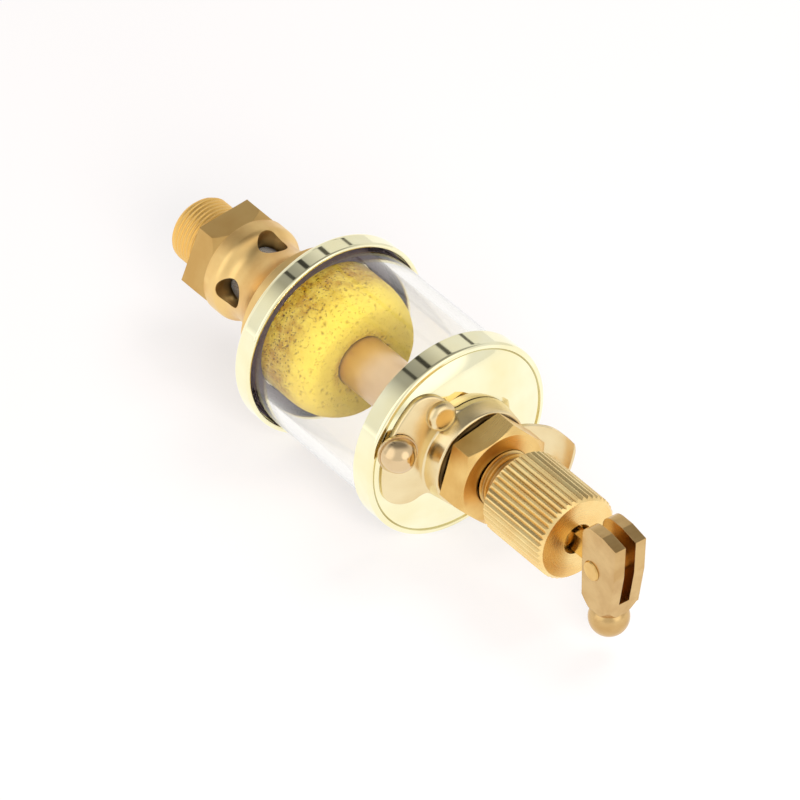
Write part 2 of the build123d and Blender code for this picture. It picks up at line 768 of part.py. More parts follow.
# ---------------------------------------------------------------- toggle lever
with BuildPart() as lever:
    # cheeks: along the folded lever (+Y) and up the cup's axis, from the pin
    cheek_plane = Plane(origin=(0, 0, pin_z), x_dir=(0, 1, 0), z_dir=(1, 0, 0))
    outer_edge = lever_foot_w - lever_edge
    with BuildSketch(cheek_plane):
        with BuildLine():
            near = Line((lever_arm, -lever_edge), (lever_heel_r - cam_len, -lever_edge))
            heel = TangentArc(near @ 1, (-cam_len, lever_heel_r - lever_edge), tangent=(-1, 0))
            Polyline(
                heel @ 1,
                (-cam_len, 0.42 * outer_edge),
                (lever_foot_slant - cam_len, outer_edge),
                (-0.16 * cam_len, 0.95 * outer_edge),
                (lever_arm, lever_neck_w - lever_edge),
                near @ 0,
            )
        make_face()
    extrude(amount=lever_t / 2, both=True)
    # the end beside the ball is turned down to it
    neck_z = pin_z + lever_neck_w / 2 - lever_edge
    block_r = sqrt(lever_t**2 + lever_neck_w**2) / 2
    clear_r = 2 * lever_foot_w
    with BuildSketch(Plane.XY.offset(neck_z)):
        Polygon(
            (0, -cam_len - 1),
            (clear_r, -cam_len - 1),
            (clear_r, lever_arm - lever_turned),
            (block_r, lever_arm - lever_turned),
            (lever_end_d / 2, lever_arm),
            (0, lever_arm),
            align=None,
        )
    revolve(axis=Axis((0, 0, neck_z), (0, 1, 0)), mode=Mode.INTERSECT)
    # slot for the needle's tongue, open towards the foot
    with BuildSketch(Plane.XY.offset(pin_z - lever_edge - 1)):
        with Locations((0, slot_end)):
            Rectangle(tongue_t + 2 * cheek, cam_len + slot_end + 1, align=(Align.CENTER, Align.MAX))
    extrude(amount=lever_foot_w + 2, mode=Mode.SUBTRACT)
    with Locations((0, ball_reach, neck_z)):
        Sphere(ball_d / 2)
    with BuildSketch(cheek_plane):
        Circle(pin_d / 2 + fixed)
    extrude(amount=lever_t, both=True, mode=Mode.SUBTRACT)
lever.part.label = "lever"
export_step(lever.part, "parts/lever.step")

with BuildPart() as lever_pin:
    with BuildSketch(cheek_plane):
        Circle(pin_d / 2)
    extrude(amount=lever_t / 2 + fixed, both=True)
    # riveted heads
    for side in (-1, 1):
        with BuildSketch(cheek_plane.offset(side * (lever_t / 2 + fixed))):
            Circle(pin_head_d / 2)
        extrude(amount=side * pin_head_t, taper=30)
lever_pin.part.label = "lever_pin"
export_step(lever_pin.part, "parts/lever_pin.step")
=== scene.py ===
"""Looks of a constant-drip oil cup: brass finishes, cut threads, foam, glass and a small studio.

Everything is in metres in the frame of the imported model: +Z runs from the mounting stud to the
toggle lever, and the cup lies with the rims of its two caps on a table at +Y.
"""
import json
import logging
import math
from dataclasses import dataclass, field, replace
from enum import Enum
from typing import Any

import bmesh
import bpy
from mathutils import Matrix, Vector


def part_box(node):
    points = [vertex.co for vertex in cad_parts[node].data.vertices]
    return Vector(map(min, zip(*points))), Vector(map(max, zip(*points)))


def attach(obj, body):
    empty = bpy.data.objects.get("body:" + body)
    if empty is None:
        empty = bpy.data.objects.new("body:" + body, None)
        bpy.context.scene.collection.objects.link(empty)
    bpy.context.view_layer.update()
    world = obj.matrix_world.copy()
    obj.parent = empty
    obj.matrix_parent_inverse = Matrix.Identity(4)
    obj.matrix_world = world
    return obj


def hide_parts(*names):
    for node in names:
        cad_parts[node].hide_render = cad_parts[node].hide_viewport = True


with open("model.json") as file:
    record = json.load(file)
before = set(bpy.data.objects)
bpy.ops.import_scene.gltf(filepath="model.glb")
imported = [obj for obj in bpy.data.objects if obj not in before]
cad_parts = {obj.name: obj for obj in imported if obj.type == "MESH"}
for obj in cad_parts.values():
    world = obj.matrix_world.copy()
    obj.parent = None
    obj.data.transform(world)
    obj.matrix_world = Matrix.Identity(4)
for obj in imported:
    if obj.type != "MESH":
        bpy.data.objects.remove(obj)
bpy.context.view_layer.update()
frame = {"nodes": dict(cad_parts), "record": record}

LOG = logging.getLogger("oil_cup")
MM = 0.001
MILLING_SLANT = 0.35  # slope of the milling lines on the lever
MERGE = 1e-6  # points of a node's loose triangles that lie nearer than this are one
SENSOR_MM = 36.0
WHITE = (1.0, 1.0, 1.0, 1.0)


# ------------------------------------------------------------------------------ small helpers
def linear(code: str, alpha: float = 1.0) -> tuple[float, float, float, float]:
    """Turns an sRGB hex colour into linear values.

    Args:
        code: Six hex digits, such as "C89A56".
        alpha: Fourth value of the result.

    Returns:
        Linear red, green and blue, then alpha.
    """
    parts = [int(code[i : i + 2], 16) / 255 for i in (0, 2, 4)]
    red, green, blue = (c / 12.92 if c <= 0.04045 else ((c + 0.055) / 1.055) ** 2.4 for c in parts)
    return red, green, blue, alpha


def add(
    tree: bpy.types.NodeTree, kind: str, inputs: dict[str | int, Any] | None = None, **settings: Any
) -> bpy.types.Node:
    """Adds one node with its settings, values and links.

    Args:
        tree: Node tree that gets the node.
        kind: Blender's name of the node type.
        inputs: Values or source sockets by input name or number.
        **settings: The node's own properties.

    Returns:
        The new node.
    """
    made = tree.nodes.new(kind)
    for name, value in settings.items():
        setattr(made, name, value)
    for key, value in (inputs or {}).items():
        if isinstance(value, bpy.types.NodeSocket):
            tree.links.new(value, made.inputs[key])
        else:
            made.inputs[key].default_value = value
    return made


def new_material(name: str) -> tuple[bpy.types.Material, bpy.types.NodeTree]:
    """Makes an empty node material.

    Args:
        name: Name of the finish.

    Returns:
        The material and its cleared node tree.
    """
    material = bpy.data.materials.new(name)
    material.use_nodes = True
    material.node_tree.nodes.clear()
    return material, material.node_tree


def millimetres(tree: bpy.types.NodeTree) -> bpy.types.NodeSocket:
    """Gives object coordinates in millimetres, so that a pattern's scale is one over its size.

    Args:
        tree: Material's node tree.

    Returns:
        Socket with the coordinates.
    """
    coords = add(tree, "ShaderNodeTexCoord")
    scaled = add(
        tree,
        "ShaderNodeVectorMath",
        {0: coords.outputs["Object"], "Scale": 1 / MM},
        operation="SCALE",
    )
    return scaled.outputs["Vector"]


def from_axis(
    tree: bpy.types.NodeTree, mm: bpy.types.NodeSocket
) -> tuple[bpy.types.NodeSocket, bpy.types.Node]:
    """Measures how far each point lies from the cup's axis.

    Args:
        tree: Material's node tree.
        mm: Coordinates in millimetres.

    Returns:
        Socket with the reach, and the node that gives X, Y and Z.
    """
    split = add(tree, "ShaderNodeSeparateXYZ", {0: mm})
    flat = add(
        tree, "ShaderNodeCombineXYZ", {"X": split.outputs["X"], "Y": split.outputs["Y"]}
    )
    reach = add(tree, "ShaderNodeVectorMath", {0: flat.outputs[0]}, operation="LENGTH")
    return reach.outputs["Value"], split


def dress(node: str, material: bpy.types.Material) -> None:
    """Gives a node of the model one material.

    Args:
        node: Name of the node.
        material: Its finish.
    """
    mesh = frame["nodes"][node].data
    mesh.materials.clear()
    mesh.materials.append(material)
    LOG.info("%s is %s", node, material.name)


def mount(name: str) -> dict[str, Any]:
    """A mount of the model's record, by name."""
    return next(entry for entry in frame["record"]["mounts"] if entry["name"] == name)


def body_of(node: str) -> str:
    """Name of the body that a node of the model belongs to."""
    bodies: dict[str, list[str]] = frame["record"]["behaviour"]["bodies"]
    return next(body for body, nodes in bodies.items() if node in nodes)


def radius(node: str) -> float:
    """Outer radius of a round node that stands on the cup's axis."""
    low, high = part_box(node)
    return (high.x - low.x) / 2


def show(name: str, data: bpy.types.ID) -> bpy.types.Object:
    """Adds an object to the scene, at the origin.

    Args:
        name: Name of the object.
        data: Its mesh, lamp or camera.

    Returns:
        The new object.
    """
    made = bpy.data.objects.new(name, data)
    bpy.context.scene.collection.objects.link(made)
    return made


# ------------------------------------------------------------------------------ finishes
class Marks(Enum):
    """Fine marks that a way of working leaves on metal."""

    TURNED = "rings round the cup's axis"
    DRAWN = "lines along the cup's axis"
    MILLED = "lines across the lever"
    PRESSED = "soft ripples of pressed sheet"


@dataclass(frozen=True)
class FilmAndPaintedLight:
    """Band of colour in grooves or in a bore between two heights: oil and oxide where the metal has
    them, and painted shade and painted reflection where they stand in for light.

    Attributes:
        root_mm: Reach from the cup's axis where the film is thickest, as at a groove's bottom.
        crest_mm: Reach where it is rubbed off, as at a crest.
        low_mm: Height where the film starts.
        high_mm: Height where it ends.
        colour: Colour of the film, sRGB hex.
        cover: How much of the metal it hides where it is thickest, 0 to 1.
        open_bore: Whether it also covers everything nearer to the axis than the grooves.
    """

    root_mm: float
    crest_mm: float
    low_mm: float
    high_mm: float
    colour: str
    cover: float
    open_bore: bool = False


@dataclass(frozen=True)
class Brass:
    """Brass as one way of working leaves it.

    Attributes:
        name: The finish in a maker's words.
        colour: What the clean metal mirrors head on, sRGB hex.
        stain: Warmer or duller patches, sRGB hex.
        patch_mm: Size of a patch.
        roughness: Mean roughness.
        spread: How far the marks move the roughness.
        marks: Kind of marks.
        pitch_mm: Spacing of the marks, as coarse as they need to show.
        depth_mm: Height of the marks.
        edge_mm: Radius of the broken edges.
        anisotropy: How far the marks stretch a highlight.
        films_and_painted_light: Bands of oil and oxide, and of painted shade and painted
            reflection, where there are any.
        crevice: Colour of the painted shade in corners and seams, sRGB hex.
        crevice_mm: How far from a seam the painted shade reaches.
        crevice_share: How much of the metal the painted shade hides in a closed corner.
    """

    name: str
    colour: str
    stain: str
    patch_mm: float
    roughness: float
    spread: float
    marks: Marks
    pitch_mm: float
    depth_mm: float
    edge_mm: float = 0.15
    anisotropy: float = 0.0
    films_and_painted_light: tuple[FilmAndPaintedLight, ...] = ()
    crevice: str = "5A4218"
    crevice_mm: float = 1.1
    crevice_share: float = 0.75

    def film_and_light_share(
        self, tree: bpy.types.NodeTree, mm: bpy.types.NodeSocket, film: FilmAndPaintedLight
    ) -> bpy.types.NodeSocket:
        """Works out how much of the metal a film hides.

        Args:
            tree: Material's node tree.
            mm: Coordinates in millimetres.
            film: The film.

        Returns:
            Socket with the share, which is 0 on the crests and past the film's ends.
        """
        reach, split = from_axis(tree, mm)
        share = add(
            tree,
            "ShaderNodeMapRange",
            {
                "Value": reach,
                "From Min": film.crest_mm,
                "From Max": film.root_mm,
                "To Max": film.cover,
            },
        )
        middle, half = (film.low_mm + film.high_mm) / 2, (film.high_mm - film.low_mm) / 2
        between = add(
            tree, "ShaderNodeMath", {0: split.outputs["Z"], 1: middle, 2: half}, operation="COMPARE"
        )
        limits = [between]
        if not film.open_bore:
            deepest = 2 * film.root_mm - film.crest_mm
            limits.append(
                add(tree, "ShaderNodeMath", {0: reach, 1: deepest}, operation="GREATER_THAN")
            )
        for limit in limits:
            share = add(
                tree,
                "ShaderNodeMath",
                {0: share.outputs[0], 1: limit.outputs[0]},
                operation="MULTIPLY",
            )
        return share.outputs[0]

    def mark_height(
        self, tree: bpy.types.NodeTree, mm: bpy.types.NodeSocket
    ) -> bpy.types.NodeSocket:
        """Draws the marks as a height from 0 to 1.

        Args:
            tree: Material's node tree.
            mm: Coordinates in millimetres.

        Returns:
            Socket with the height.
        """
        if self.marks is Marks.PRESSED:
            ripples = add(
                tree,
                "ShaderNodeTexNoise",
                {"Vector": mm, "Scale": 1 / self.pitch_mm, "Detail": 2.0, "Roughness": 0.4},
            )
            return ripples.outputs["Fac"]
        reach, split = from_axis(tree, mm)
        if self.marks is Marks.TURNED:
            # height and reach together draw rings on walls and on flat ends alike
            along = add(tree, "ShaderNodeMath", {0: split.outputs["Z"], 1: reach})
        elif self.marks is Marks.DRAWN:
            turn = add(
                tree,
                "ShaderNodeMath",
                {0: split.outputs["Y"], 1: split.outputs["X"]},
                operation="ARCTAN2",
            )
            along = add(
                tree, "ShaderNodeMath", {0: turn.outputs[0], 1: reach}, operation="MULTIPLY"
            )
        else:
            along = add(
                tree,
                "ShaderNodeMath",
                {0: split.outputs["Z"], 1: MILLING_SLANT, 2: split.outputs["Y"]},
                operation="MULTIPLY_ADD",
            )
        lines = add(
            tree,
            "ShaderNodeTexNoise",
            {"W": along.outputs[0], "Scale": 1 / self.pitch_mm, "Detail": 2.0, "Roughness": 0.6},
            noise_dimensions="1D",
        )
        return lines.outputs["Fac"]

    def material(self) -> bpy.types.Material:
        """Builds the material.

        Returns:
            The finish as a Blender material.
        """
        material, tree = new_material(self.name)
        mm = millimetres(tree)
        height = self.mark_height(tree, mm)
        patches = add(
            tree,
            "ShaderNodeTexNoise",
            {"Vector": mm, "Scale": 1 / self.patch_mm, "Detail": 3.0, "Roughness": 0.55},
        )
        stained = add(
            tree,
            "ShaderNodeMapRange",
            {"Value": patches.outputs["Fac"], "From Min": 0.38, "From Max": 0.68},
        )
        tint = add(
            tree,
            "ShaderNodeMix",
            {0: stained.outputs[0], 6: linear(self.colour), 7: linear(self.stain)},
            data_type="RGBA",
        )
        colour = tint.outputs[2]
        for film in self.films_and_painted_light:
            coated = add(
                tree,
                "ShaderNodeMix",
                {0: self.film_and_light_share(tree, mm, film), 6: colour, 7: linear(film.colour)},
                data_type="RGBA",
            )
            colour = coated.outputs[2]
        # painted shade: the colour darkens where ambient occlusion finds a corner closed in
        open_sky = add(
            tree, "ShaderNodeAmbientOcclusion", {"Distance": self.crevice_mm * MM}, samples=6
        )
        closed = add(
            tree,
            "ShaderNodeMapRange",
            {
                "Value": open_sky.outputs["AO"],
                "From Min": 0.75,
                "From Max": 0.3,
                "To Max": self.crevice_share,
            },
        )
        painted_crevice_shade = add(
            tree,
            "ShaderNodeMix",
            {0: closed.outputs[0], 6: colour, 7: linear(self.crevice)},
            data_type="RGBA",
        )
        colour = painted_crevice_shade.outputs[2]
        # the marks and the patches both move the roughness, the marks a little more
        patchy = add(
            tree, "ShaderNodeMath", {0: patches.outputs["Fac"], 1: 0.4}, operation="MULTIPLY"
        )
        worn = add(
            tree,
            "ShaderNodeMath",
            {0: height, 1: 0.6, 2: patchy.outputs[0]},
            operation="MULTIPLY_ADD",
        )
        rough = add(
            tree,
            "ShaderNodeMapRange",
            {
                "Value": worn.outputs[0],
                "From Min": 0.3,
                "From Max": 0.7,
                "To Min": self.roughness - self.spread,
                "To Max": self.roughness + self.spread,
            },
        )
        edge = add(tree, "ShaderNodeBevel", {"Radius": self.edge_mm * MM}, samples=4)
        bump = add(
            tree,
            "ShaderNodeBump",
            {
                "Height": height,
                "Distance": self.depth_mm * MM,
                "Strength": 1.0,
                "Normal": edge.outputs[0],
            },
        )
        shader = add(
            tree,
            "ShaderNodeBsdfPrincipled",
            {
                "Base Color": colour,
                "Metallic": 1.0,
                "Roughness": rough.outputs[0],
                "Normal": bump.outputs[0],
                "Anisotropic": self.anisotropy,
            },
        )
        if self.anisotropy:
            round_axis = add(tree, "ShaderNodeTangent", direction_type="RADIAL", axis="Z")
            tree.links.new(round_axis.outputs[0], shader.inputs["Tangent"])
        add(tree, "ShaderNodeOutputMaterial", {"Surface": shader.outputs[0]})
        return material


@dataclass(frozen=True)
class ClearGlass:
    """Drawn glass tube: clear, smooth, with a breath of oil film on its wall.

    Attributes:
        name: The finish in a maker's words.
        colour: Tint of light that goes through, sRGB hex.
        ior: Index of refraction.
        film: Roughness of the film at its thickest.
        patch_mm: Size of the film's patches.
        clarity: Share of light that goes through; the rest scatters on a milky surface.
    """

    name: str = "soda_lime_glass"
    colour: str = "FDFAF5"
    ior: float = 1.45
    film: float = 0.03
    patch_mm: float = 9.0
    clarity: float = 1.0

    def material(self) -> bpy.types.Material:
        """Builds the material.

        Returns:
            Glass that lets the lamps reach what is inside.
        """
        material, tree = new_material(self.name)
        mm = millimetres(tree)
        haze = add(
            tree, "ShaderNodeTexNoise", {"Vector": mm, "Scale": 1 / self.patch_mm, "Detail": 2.0}
        )
        rough = add(
            tree,
            "ShaderNodeMapRange",
            {"Value": haze.outputs["Fac"], "From Min": 0.45, "From Max": 0.7, "To Max": self.film},
        )
        shader = add(
            tree,
            "ShaderNodeBsdfPrincipled",
            {
                "Base Color": linear(self.colour),
                "Roughness": rough.outputs[0],
                "IOR": self.ior,
                "Transmission Weight": self.clarity,
            },
        )
        path = add(tree, "ShaderNodeLightPath")
        clear = add(tree, "ShaderNodeBsdfTransparent", {"Color": linear(self.colour)})
        either = add(
            tree,
            "ShaderNodeMath",
            {0: path.outputs["Is Shadow Ray"], 1: path.outputs["Is Diffuse Ray"]},
            operation="MAXIMUM",
        )
        mixed = add(
            tree,
            "ShaderNodeMixShader",
            {0: either.outputs[0], 1: shader.outputs[0], 2: clear.outputs[0]},
        )
        add(tree, "ShaderNodeOutputMaterial", {"Surface": mixed.outputs[0]})
        return material


@dataclass(frozen=True)
class OpenCellFoam:
    """Open-cell polyurethane foam: matte, with painted shade in its pores, towards its foot and
    round its hole.

    Attributes:
        name: The finish in a maker's words.
        colour: Lit foam, sRGB hex.
        shade: Painted shade towards the foot and round the hole, sRGB hex.
        pore: Painted shade inside a pore, sRGB hex.
        pore_mm: Spacing of the large pores.
        fine_mm: Spacing of the small pores.
        mottle_mm: Size of the blotches in which the shade colour lies.
        dimple_mm: Depth of the small pores.
        shade_free_mm: Height above which the foam has no painted shade.
        full_shade_mm: Height below which the painted shade is full and its pores show.
        hole_mm: Radius of the hole, whose rim gets painted shade too.
        rim_mm: Width of the painted shade round the hole.
    """

    name: str = "open_cell_foam"
    colour: str = "F3E05A"
    shade: str = "C49612"
    pore: str = "7A5200"
    pore_mm: float = 1.15
    fine_mm: float = 0.55
    mottle_mm: float = 2.4
    dimple_mm: float = 0.25
    shade_free_mm: float = 0.0
    full_shade_mm: float = 0.0
    hole_mm: float = 0.0
    rim_mm: float = 2.6

    def material(self) -> bpy.types.Material:
        """Builds the material.

        Returns:
            The finish, with its pores where FoamBlock sinks them.
        """
        material, tree = new_material(self.name)
        mm = millimetres(tree)
        depth = add(tree, "ShaderNodeAttribute", attribute_name="pore_depth")
        fine = add(
            tree,
            "ShaderNodeTexVoronoi",
            {"Vector": mm, "Scale": 1 / self.fine_mm},
            feature="SMOOTH_F1",
        )
        pits = add(
            tree,
            "ShaderNodeMapRange",
            {"Value": fine.outputs["Distance"], "From Min": 0.28, "From Max": 0.12},
        )
        # painted shade: darker towards the foot and round the tube's hole, where the caps and the
        # tube shade the foam
        reach, split = from_axis(tree, mm)
        low = add(
            tree,
            "ShaderNodeMapRange",
            {"Value": split.outputs["Z"], "From Min": self.shade_free_mm, "From Max": self.full_shade_mm},
            interpolation_type="SMOOTHSTEP",
        )
        rim = add(
            tree,
            "ShaderNodeMapRange",
            {
                "Value": reach,
                "From Min": self.hole_mm + self.rim_mm,
                "From Max": self.hole_mm,
                "To Max": 0.7,
            },
            interpolation_type="SMOOTHSTEP",
        )
        foam_shade = add(
            tree, "ShaderNodeMath", {0: low.outputs[0], 1: rim.outputs[0]}, operation="MAXIMUM"
        )
        mottle = add(
            tree,
            "ShaderNodeTexNoise",
            {"Vector": mm, "Scale": 1 / self.mottle_mm, "Detail": 5.0, "Roughness": 0.7},
        )
        blotch = add(
            tree,
            "ShaderNodeMapRange",
            {
                "Value": mottle.outputs["Fac"],
                "From Min": 0.38,
                "From Max": 0.66,
                "To Min": 0.15,
                "To Max": 1.1,
            },
        )
        # the blotches keep a little strength even where no painted shade lies
        blotch_strength = add(
            tree, "ShaderNodeMath", {0: foam_shade.outputs[0], 1: 0.95, 2: 0.15}, operation="MULTIPLY_ADD"
        )
        shade_share = add(
            tree,
            "ShaderNodeMath",
            {0: blotch.outputs[0], 1: blotch_strength.outputs[0]},
            operation="MULTIPLY",
            use_clamp=True,
        )
        base = add(
            tree,
            "ShaderNodeMix",
            {0: shade_share.outputs[0], 6: linear(self.colour), 7: linear(self.shade)},
            data_type="RGBA",
        )
        # painted shade in the pores, deeper where the foam's painted shade lies; the small ones
        # hardly show elsewhere
        large_dark = add(
            tree, "ShaderNodeMath", {0: foam_shade.outputs[0], 1: 0.6, 2: 0.4}, operation="MULTIPLY_ADD"
        )
        large = add(
            tree,
            "ShaderNodeMath",
            {0: depth.outputs["Fac"], 1: large_dark.outputs[0]},
            operation="MULTIPLY",
        )
        small_dark = add(
            tree, "ShaderNodeMath", {0: foam_shade.outputs[0], 1: 0.85, 2: 0.06}, operation="MULTIPLY_ADD"
        )
        small = add(
            tree,
            "ShaderNodeMath",
            {0: pits.outputs[0], 1: small_dark.outputs[0]},
            operation="MULTIPLY",
        )
        dark = add(
            tree,
            "ShaderNodeMath",
            {0: large.outputs[0], 1: small.outputs[0]},
            operation="MAXIMUM",
            use_clamp=True,
        )
        tint = add(
            tree,
            "ShaderNodeMix",
            {0: dark.outputs[0], 6: base.outputs[2], 7: linear(self.pore)},
            data_type="RGBA",
        )
        sunk = add(tree, "ShaderNodeMath", {0: 1.0, 1: pits.outputs[0]}, operation="SUBTRACT")
        bump = add(
            tree,
            "ShaderNodeBump",
            {"Height": sunk.outputs[0], "Distance": self.dimple_mm * MM, "Strength": 0.8},
        )
        shader = add(
            tree,
            "ShaderNodeBsdfPrincipled",
            {
                "Base Color": tint.outputs[2],
                "Roughness": 0.95,
                "Specular IOR Level": 0.1,
                "Sheen Weight": 0.06,
                "Sheen Roughness": 0.6,
                "Normal": bump.outputs[0],
            },
        )
        add(tree, "ShaderNodeOutputMaterial", {"Surface": shader.outputs[0]})
        return material


@dataclass(frozen=True)
class FibreGasket:
    """Oil-soaked vulcanised fibre: dark slate grey, matte, with short fibres.

    Attributes:
        name: The finish in a maker's words.
        colour: Wet fibre, sRGB hex.
        fibre: Lighter fibres, sRGB hex.
        fibre_mm: Width of a fibre.
        nap_mm: Height of the fibres.
    """

    name: str = "vulcanised_fibre"
    colour: str = "3E3842"
    fibre: str = "605866"
    fibre_mm: float = 0.35
    nap_mm: float = 0.05

    def material(self) -> bpy.types.Material:
        """Builds the material.

        Returns:
            The finish as a Blender material.
        """
        material, tree = new_material(self.name)
        mm = millimetres(tree)
        grain = add(
            tree,
            "ShaderNodeTexNoise",
            {"Vector": mm, "Scale": 1 / self.fibre_mm, "Detail": 4.0, "Distortion": 1.5},
        )
        tint = add(
            tree,
            "ShaderNodeMix",
            {0: grain.outputs["Fac"], 6: linear(self.colour), 7: linear(self.fibre)},
            data_type="RGBA",
        )
        bump = add(
            tree,
            "ShaderNodeBump",
            {"Height": grain.outputs["Fac"], "Distance": self.nap_mm * MM, "Strength": 0.5},
        )
        shader = add(
            tree,
            "ShaderNodeBsdfPrincipled",
            {"Base Color": tint.outputs[2], "Roughness": 0.6, "Normal": bump.outputs[0]},
        )
        add(tree, "ShaderNodeOutputMaterial", {"Surface": shader.outputs[0]})
        return material


# Reservoir glass: drawn soda-lime tube, clear, with a breath of oil on its wall.
CLEAR_GLASS = ClearGlass()
# Sight glass: the same tube, clouded by oil to a milky, half-clear surface.
FROSTED_GLASS = ClearGlass(name="frosted_sight_glass", film=0.2, clarity=0.8)
# Seals of the sight glass: vulcanised fibre, dark slate grey and matte.
SEAL_FIBRE = FibreGasket()
# Gaskets of the reservoir: the same fibre, as dark but always soaked.
OILED_FIBRE = FibreGasket(name="oil_soaked_fibre")
# Free-machining brass off the lathe: satin, golden tan, with fine rings and duller patches.
TURNED = Brass(
    name="turned_brass",
    colour="F0D08A",
    stain="DDB574",
    patch_mm=7.0,
    roughness=0.25,
    spread=0.05,
    marks=Marks.TURNED,
    pitch_mm=0.3,
    depth_mm=0.002,
    anisotropy=0.2,
)
# Sight body: the same brass rubbed to a soft, even satin without a streaked highlight.
SATIN = replace(
    TURNED,
    name="satin_turned_brass",
    colour="F7D28C",
    stain="E8BC76",
    roughness=0.38,
    edge_mm=0.1,
    anisotropy=0.0,
)
# Lever: the same brass milled flat and never polished, so it is browner, with lines across it.
MILLED = Brass(
    name="milled_brass",
    colour="D9B67C",
    stain="C9A268",
    patch_mm=5.0,
    roughness=0.23,
    spread=0.03,
    marks=Marks.MILLED,
    pitch_mm=0.4,
    depth_mm=0.002,
    crevice_mm=0.7,
    crevice_share=0.2,
)
# Lock nut and pin: cut from drawn bar that keeps its dull skin, an even golden tan.
DULL = replace(
    TURNED,
    name="dull_hexagon_bar_brass",
    colour="F4CE84",
    stain="E2B66C",
    roughness=0.3,
    anisotropy=0.0,
)
# Adjusting nut: freshly knurled, so its ridges are the cleanest metal; the paler colour is also a
# painted highlight for the light they catch.
KNURLED = replace(
    TURNED, name="knurled_brass", colour="FFE3A0", stain="FAD28A", crevice_share=0.0
)
# Spun caps, buffed and bright dipped: a pale lemon mirror with the faintest ripple.
BRIGHT = Brass(
    name="bright_dipped_brass",
    colour="FEF9D4",
    stain="FAF0C0",
    patch_mm=14.0,
    roughness=0.07,
    spread=0.03,
    marks=Marks.PRESSED,
    pitch_mm=9.0,
    depth_mm=0.03,
    edge_mm=0.1,
    crevice_share=0.4,
)
# Cover plate: polished sheet, pressed, between the turned pieces and the caps in colour.
PRESSED = Brass(
    name="polished_pressed_brass",
    colour="F3E0B2",
    stain="E8CF9C",
    patch_mm=10.0,
    roughness=0.24,
    spread=0.04,
    marks=Marks.PRESSED,
    pitch_mm=4.0,
    depth_mm=0.02,
    edge_mm=0.12,
    crevice_share=0.5,
)
# Knob: turned from the solid and buffed, a shade browner than its plate.
BUFFED = replace(
    PRESSED, name="buffed_knob_brass", colour="E2C69A", stain="D0AE7E", roughness=0.16
)
# Centre tube: drawn, and stained by oil to a pinkish brown, with lines along it.
DRAWN = Brass(
    name="drawn_tube_brass",
    colour="E9CFAC",
    stain="DABC96",
    patch_mm=6.0,
    roughness=0.34,
    spread=0.05,
    marks=Marks.DRAWN,
    pitch_mm=0.5,
    depth_mm=0.002,
)
# Needle's coil spring: bright grey drawn wire.
WIRE = Brass(
    name="drawn_spring_steel",
    colour="B9B9B6",
    stain="8F8D88",
    patch_mm=3.0,
    roughness=0.25,
    spread=0.06,
    marks=Marks.PRESSED,
    pitch_mm=0.6,
    depth_mm=0.003,
    edge_mm=0.05,
)
# Washer spring under the lock nut: phosphor bronze sheet, coloured dark brown as painted shade for
# the gap under the nut.
SHADE_DARK_BRONZE = replace(
    PRESSED, name="shade_dark_spring_bronze", colour="6E5836", stain="4A3A22", roughness=0.35
)


# ------------------------------------------------------------------------------ meshes
def revolved(name: str, outline: list[tuple[float, float]], around: int) -> bpy.types.Mesh:
    """Turns a closed outline once round the cup's axis.

    Args:
        name: Name of the mesh.
        outline: Reach and height of its points.
        around: Points in one turn.

    Returns:
        A closed mesh whose faces point outwards.
    """
    shape = bmesh.new()
    turns = [2 * math.pi * k / around for k in range(around)]
    rows = [
        [shape.verts.new((reach * math.cos(turn), reach * math.sin(turn), z)) for turn in turns]
        for reach, z in outline
    ]
    for first, second in zip(rows, rows[1:] + rows[:1]):
        for k in range(around):
            j = (k + 1) % around
            shape.faces.new((first[k], first[j], second[j], second[k]))
    bmesh.ops.recalc_face_normals(shape, faces=shape.faces)
    mesh = bpy.data.meshes.new(name)
    shape.to_mesh(mesh)
    shape.free()
    return mesh


def evaluated(
    name: str,
    tree: bpy.types.NodeTree,
    sizes: dict[str, Any],
    base: bpy.types.Mesh | None = None,
) -> bpy.types.Mesh:
    """Runs a geometry node tree and returns its result as a plain mesh.

    Args:
        name: Name of the mesh.
        tree: The node tree.
        sizes: Its inputs by name.
        base: Mesh that the tree starts from, where it needs one.

    Returns:
        The plain mesh.
    """
    base = base or bpy.data.meshes.new(name)
    blank = show(name, base)
    modifier = blank.modifiers.new(name, "NODES")
    modifier.node_group = tree
    for item in tree.interface.items_tree:
        if item.item_type == "SOCKET" and item.in_out == "INPUT" and item.name in sizes:
            modifier[item.identifier] = sizes[item.name]
    graph = bpy.context.evaluated_depsgraph_get()
    made = bpy.data.meshes.new_from_object(blank.evaluated_get(graph))
    made.name = name
    bpy.data.objects.remove(blank)
    bpy.data.meshes.remove(base)
    return made


def smooth(mesh: bpy.types.Mesh, crease: float | None = None) -> None:
    """Shades a mesh smooth.

    Args:
        mesh: The mesh.
        crease: Angle in degrees from which an edge stays sharp, if any does.
    """
    for face in mesh.polygons:
        face.use_smooth = True
    if crease is not None:
        mesh.set_sharp_from_angle(angle=math.radians(crease))


def steps(count: int) -> list[float]:
    """Even steps up to 1, without the 0."""
    return [i / count for i in range(1, count + 1)]


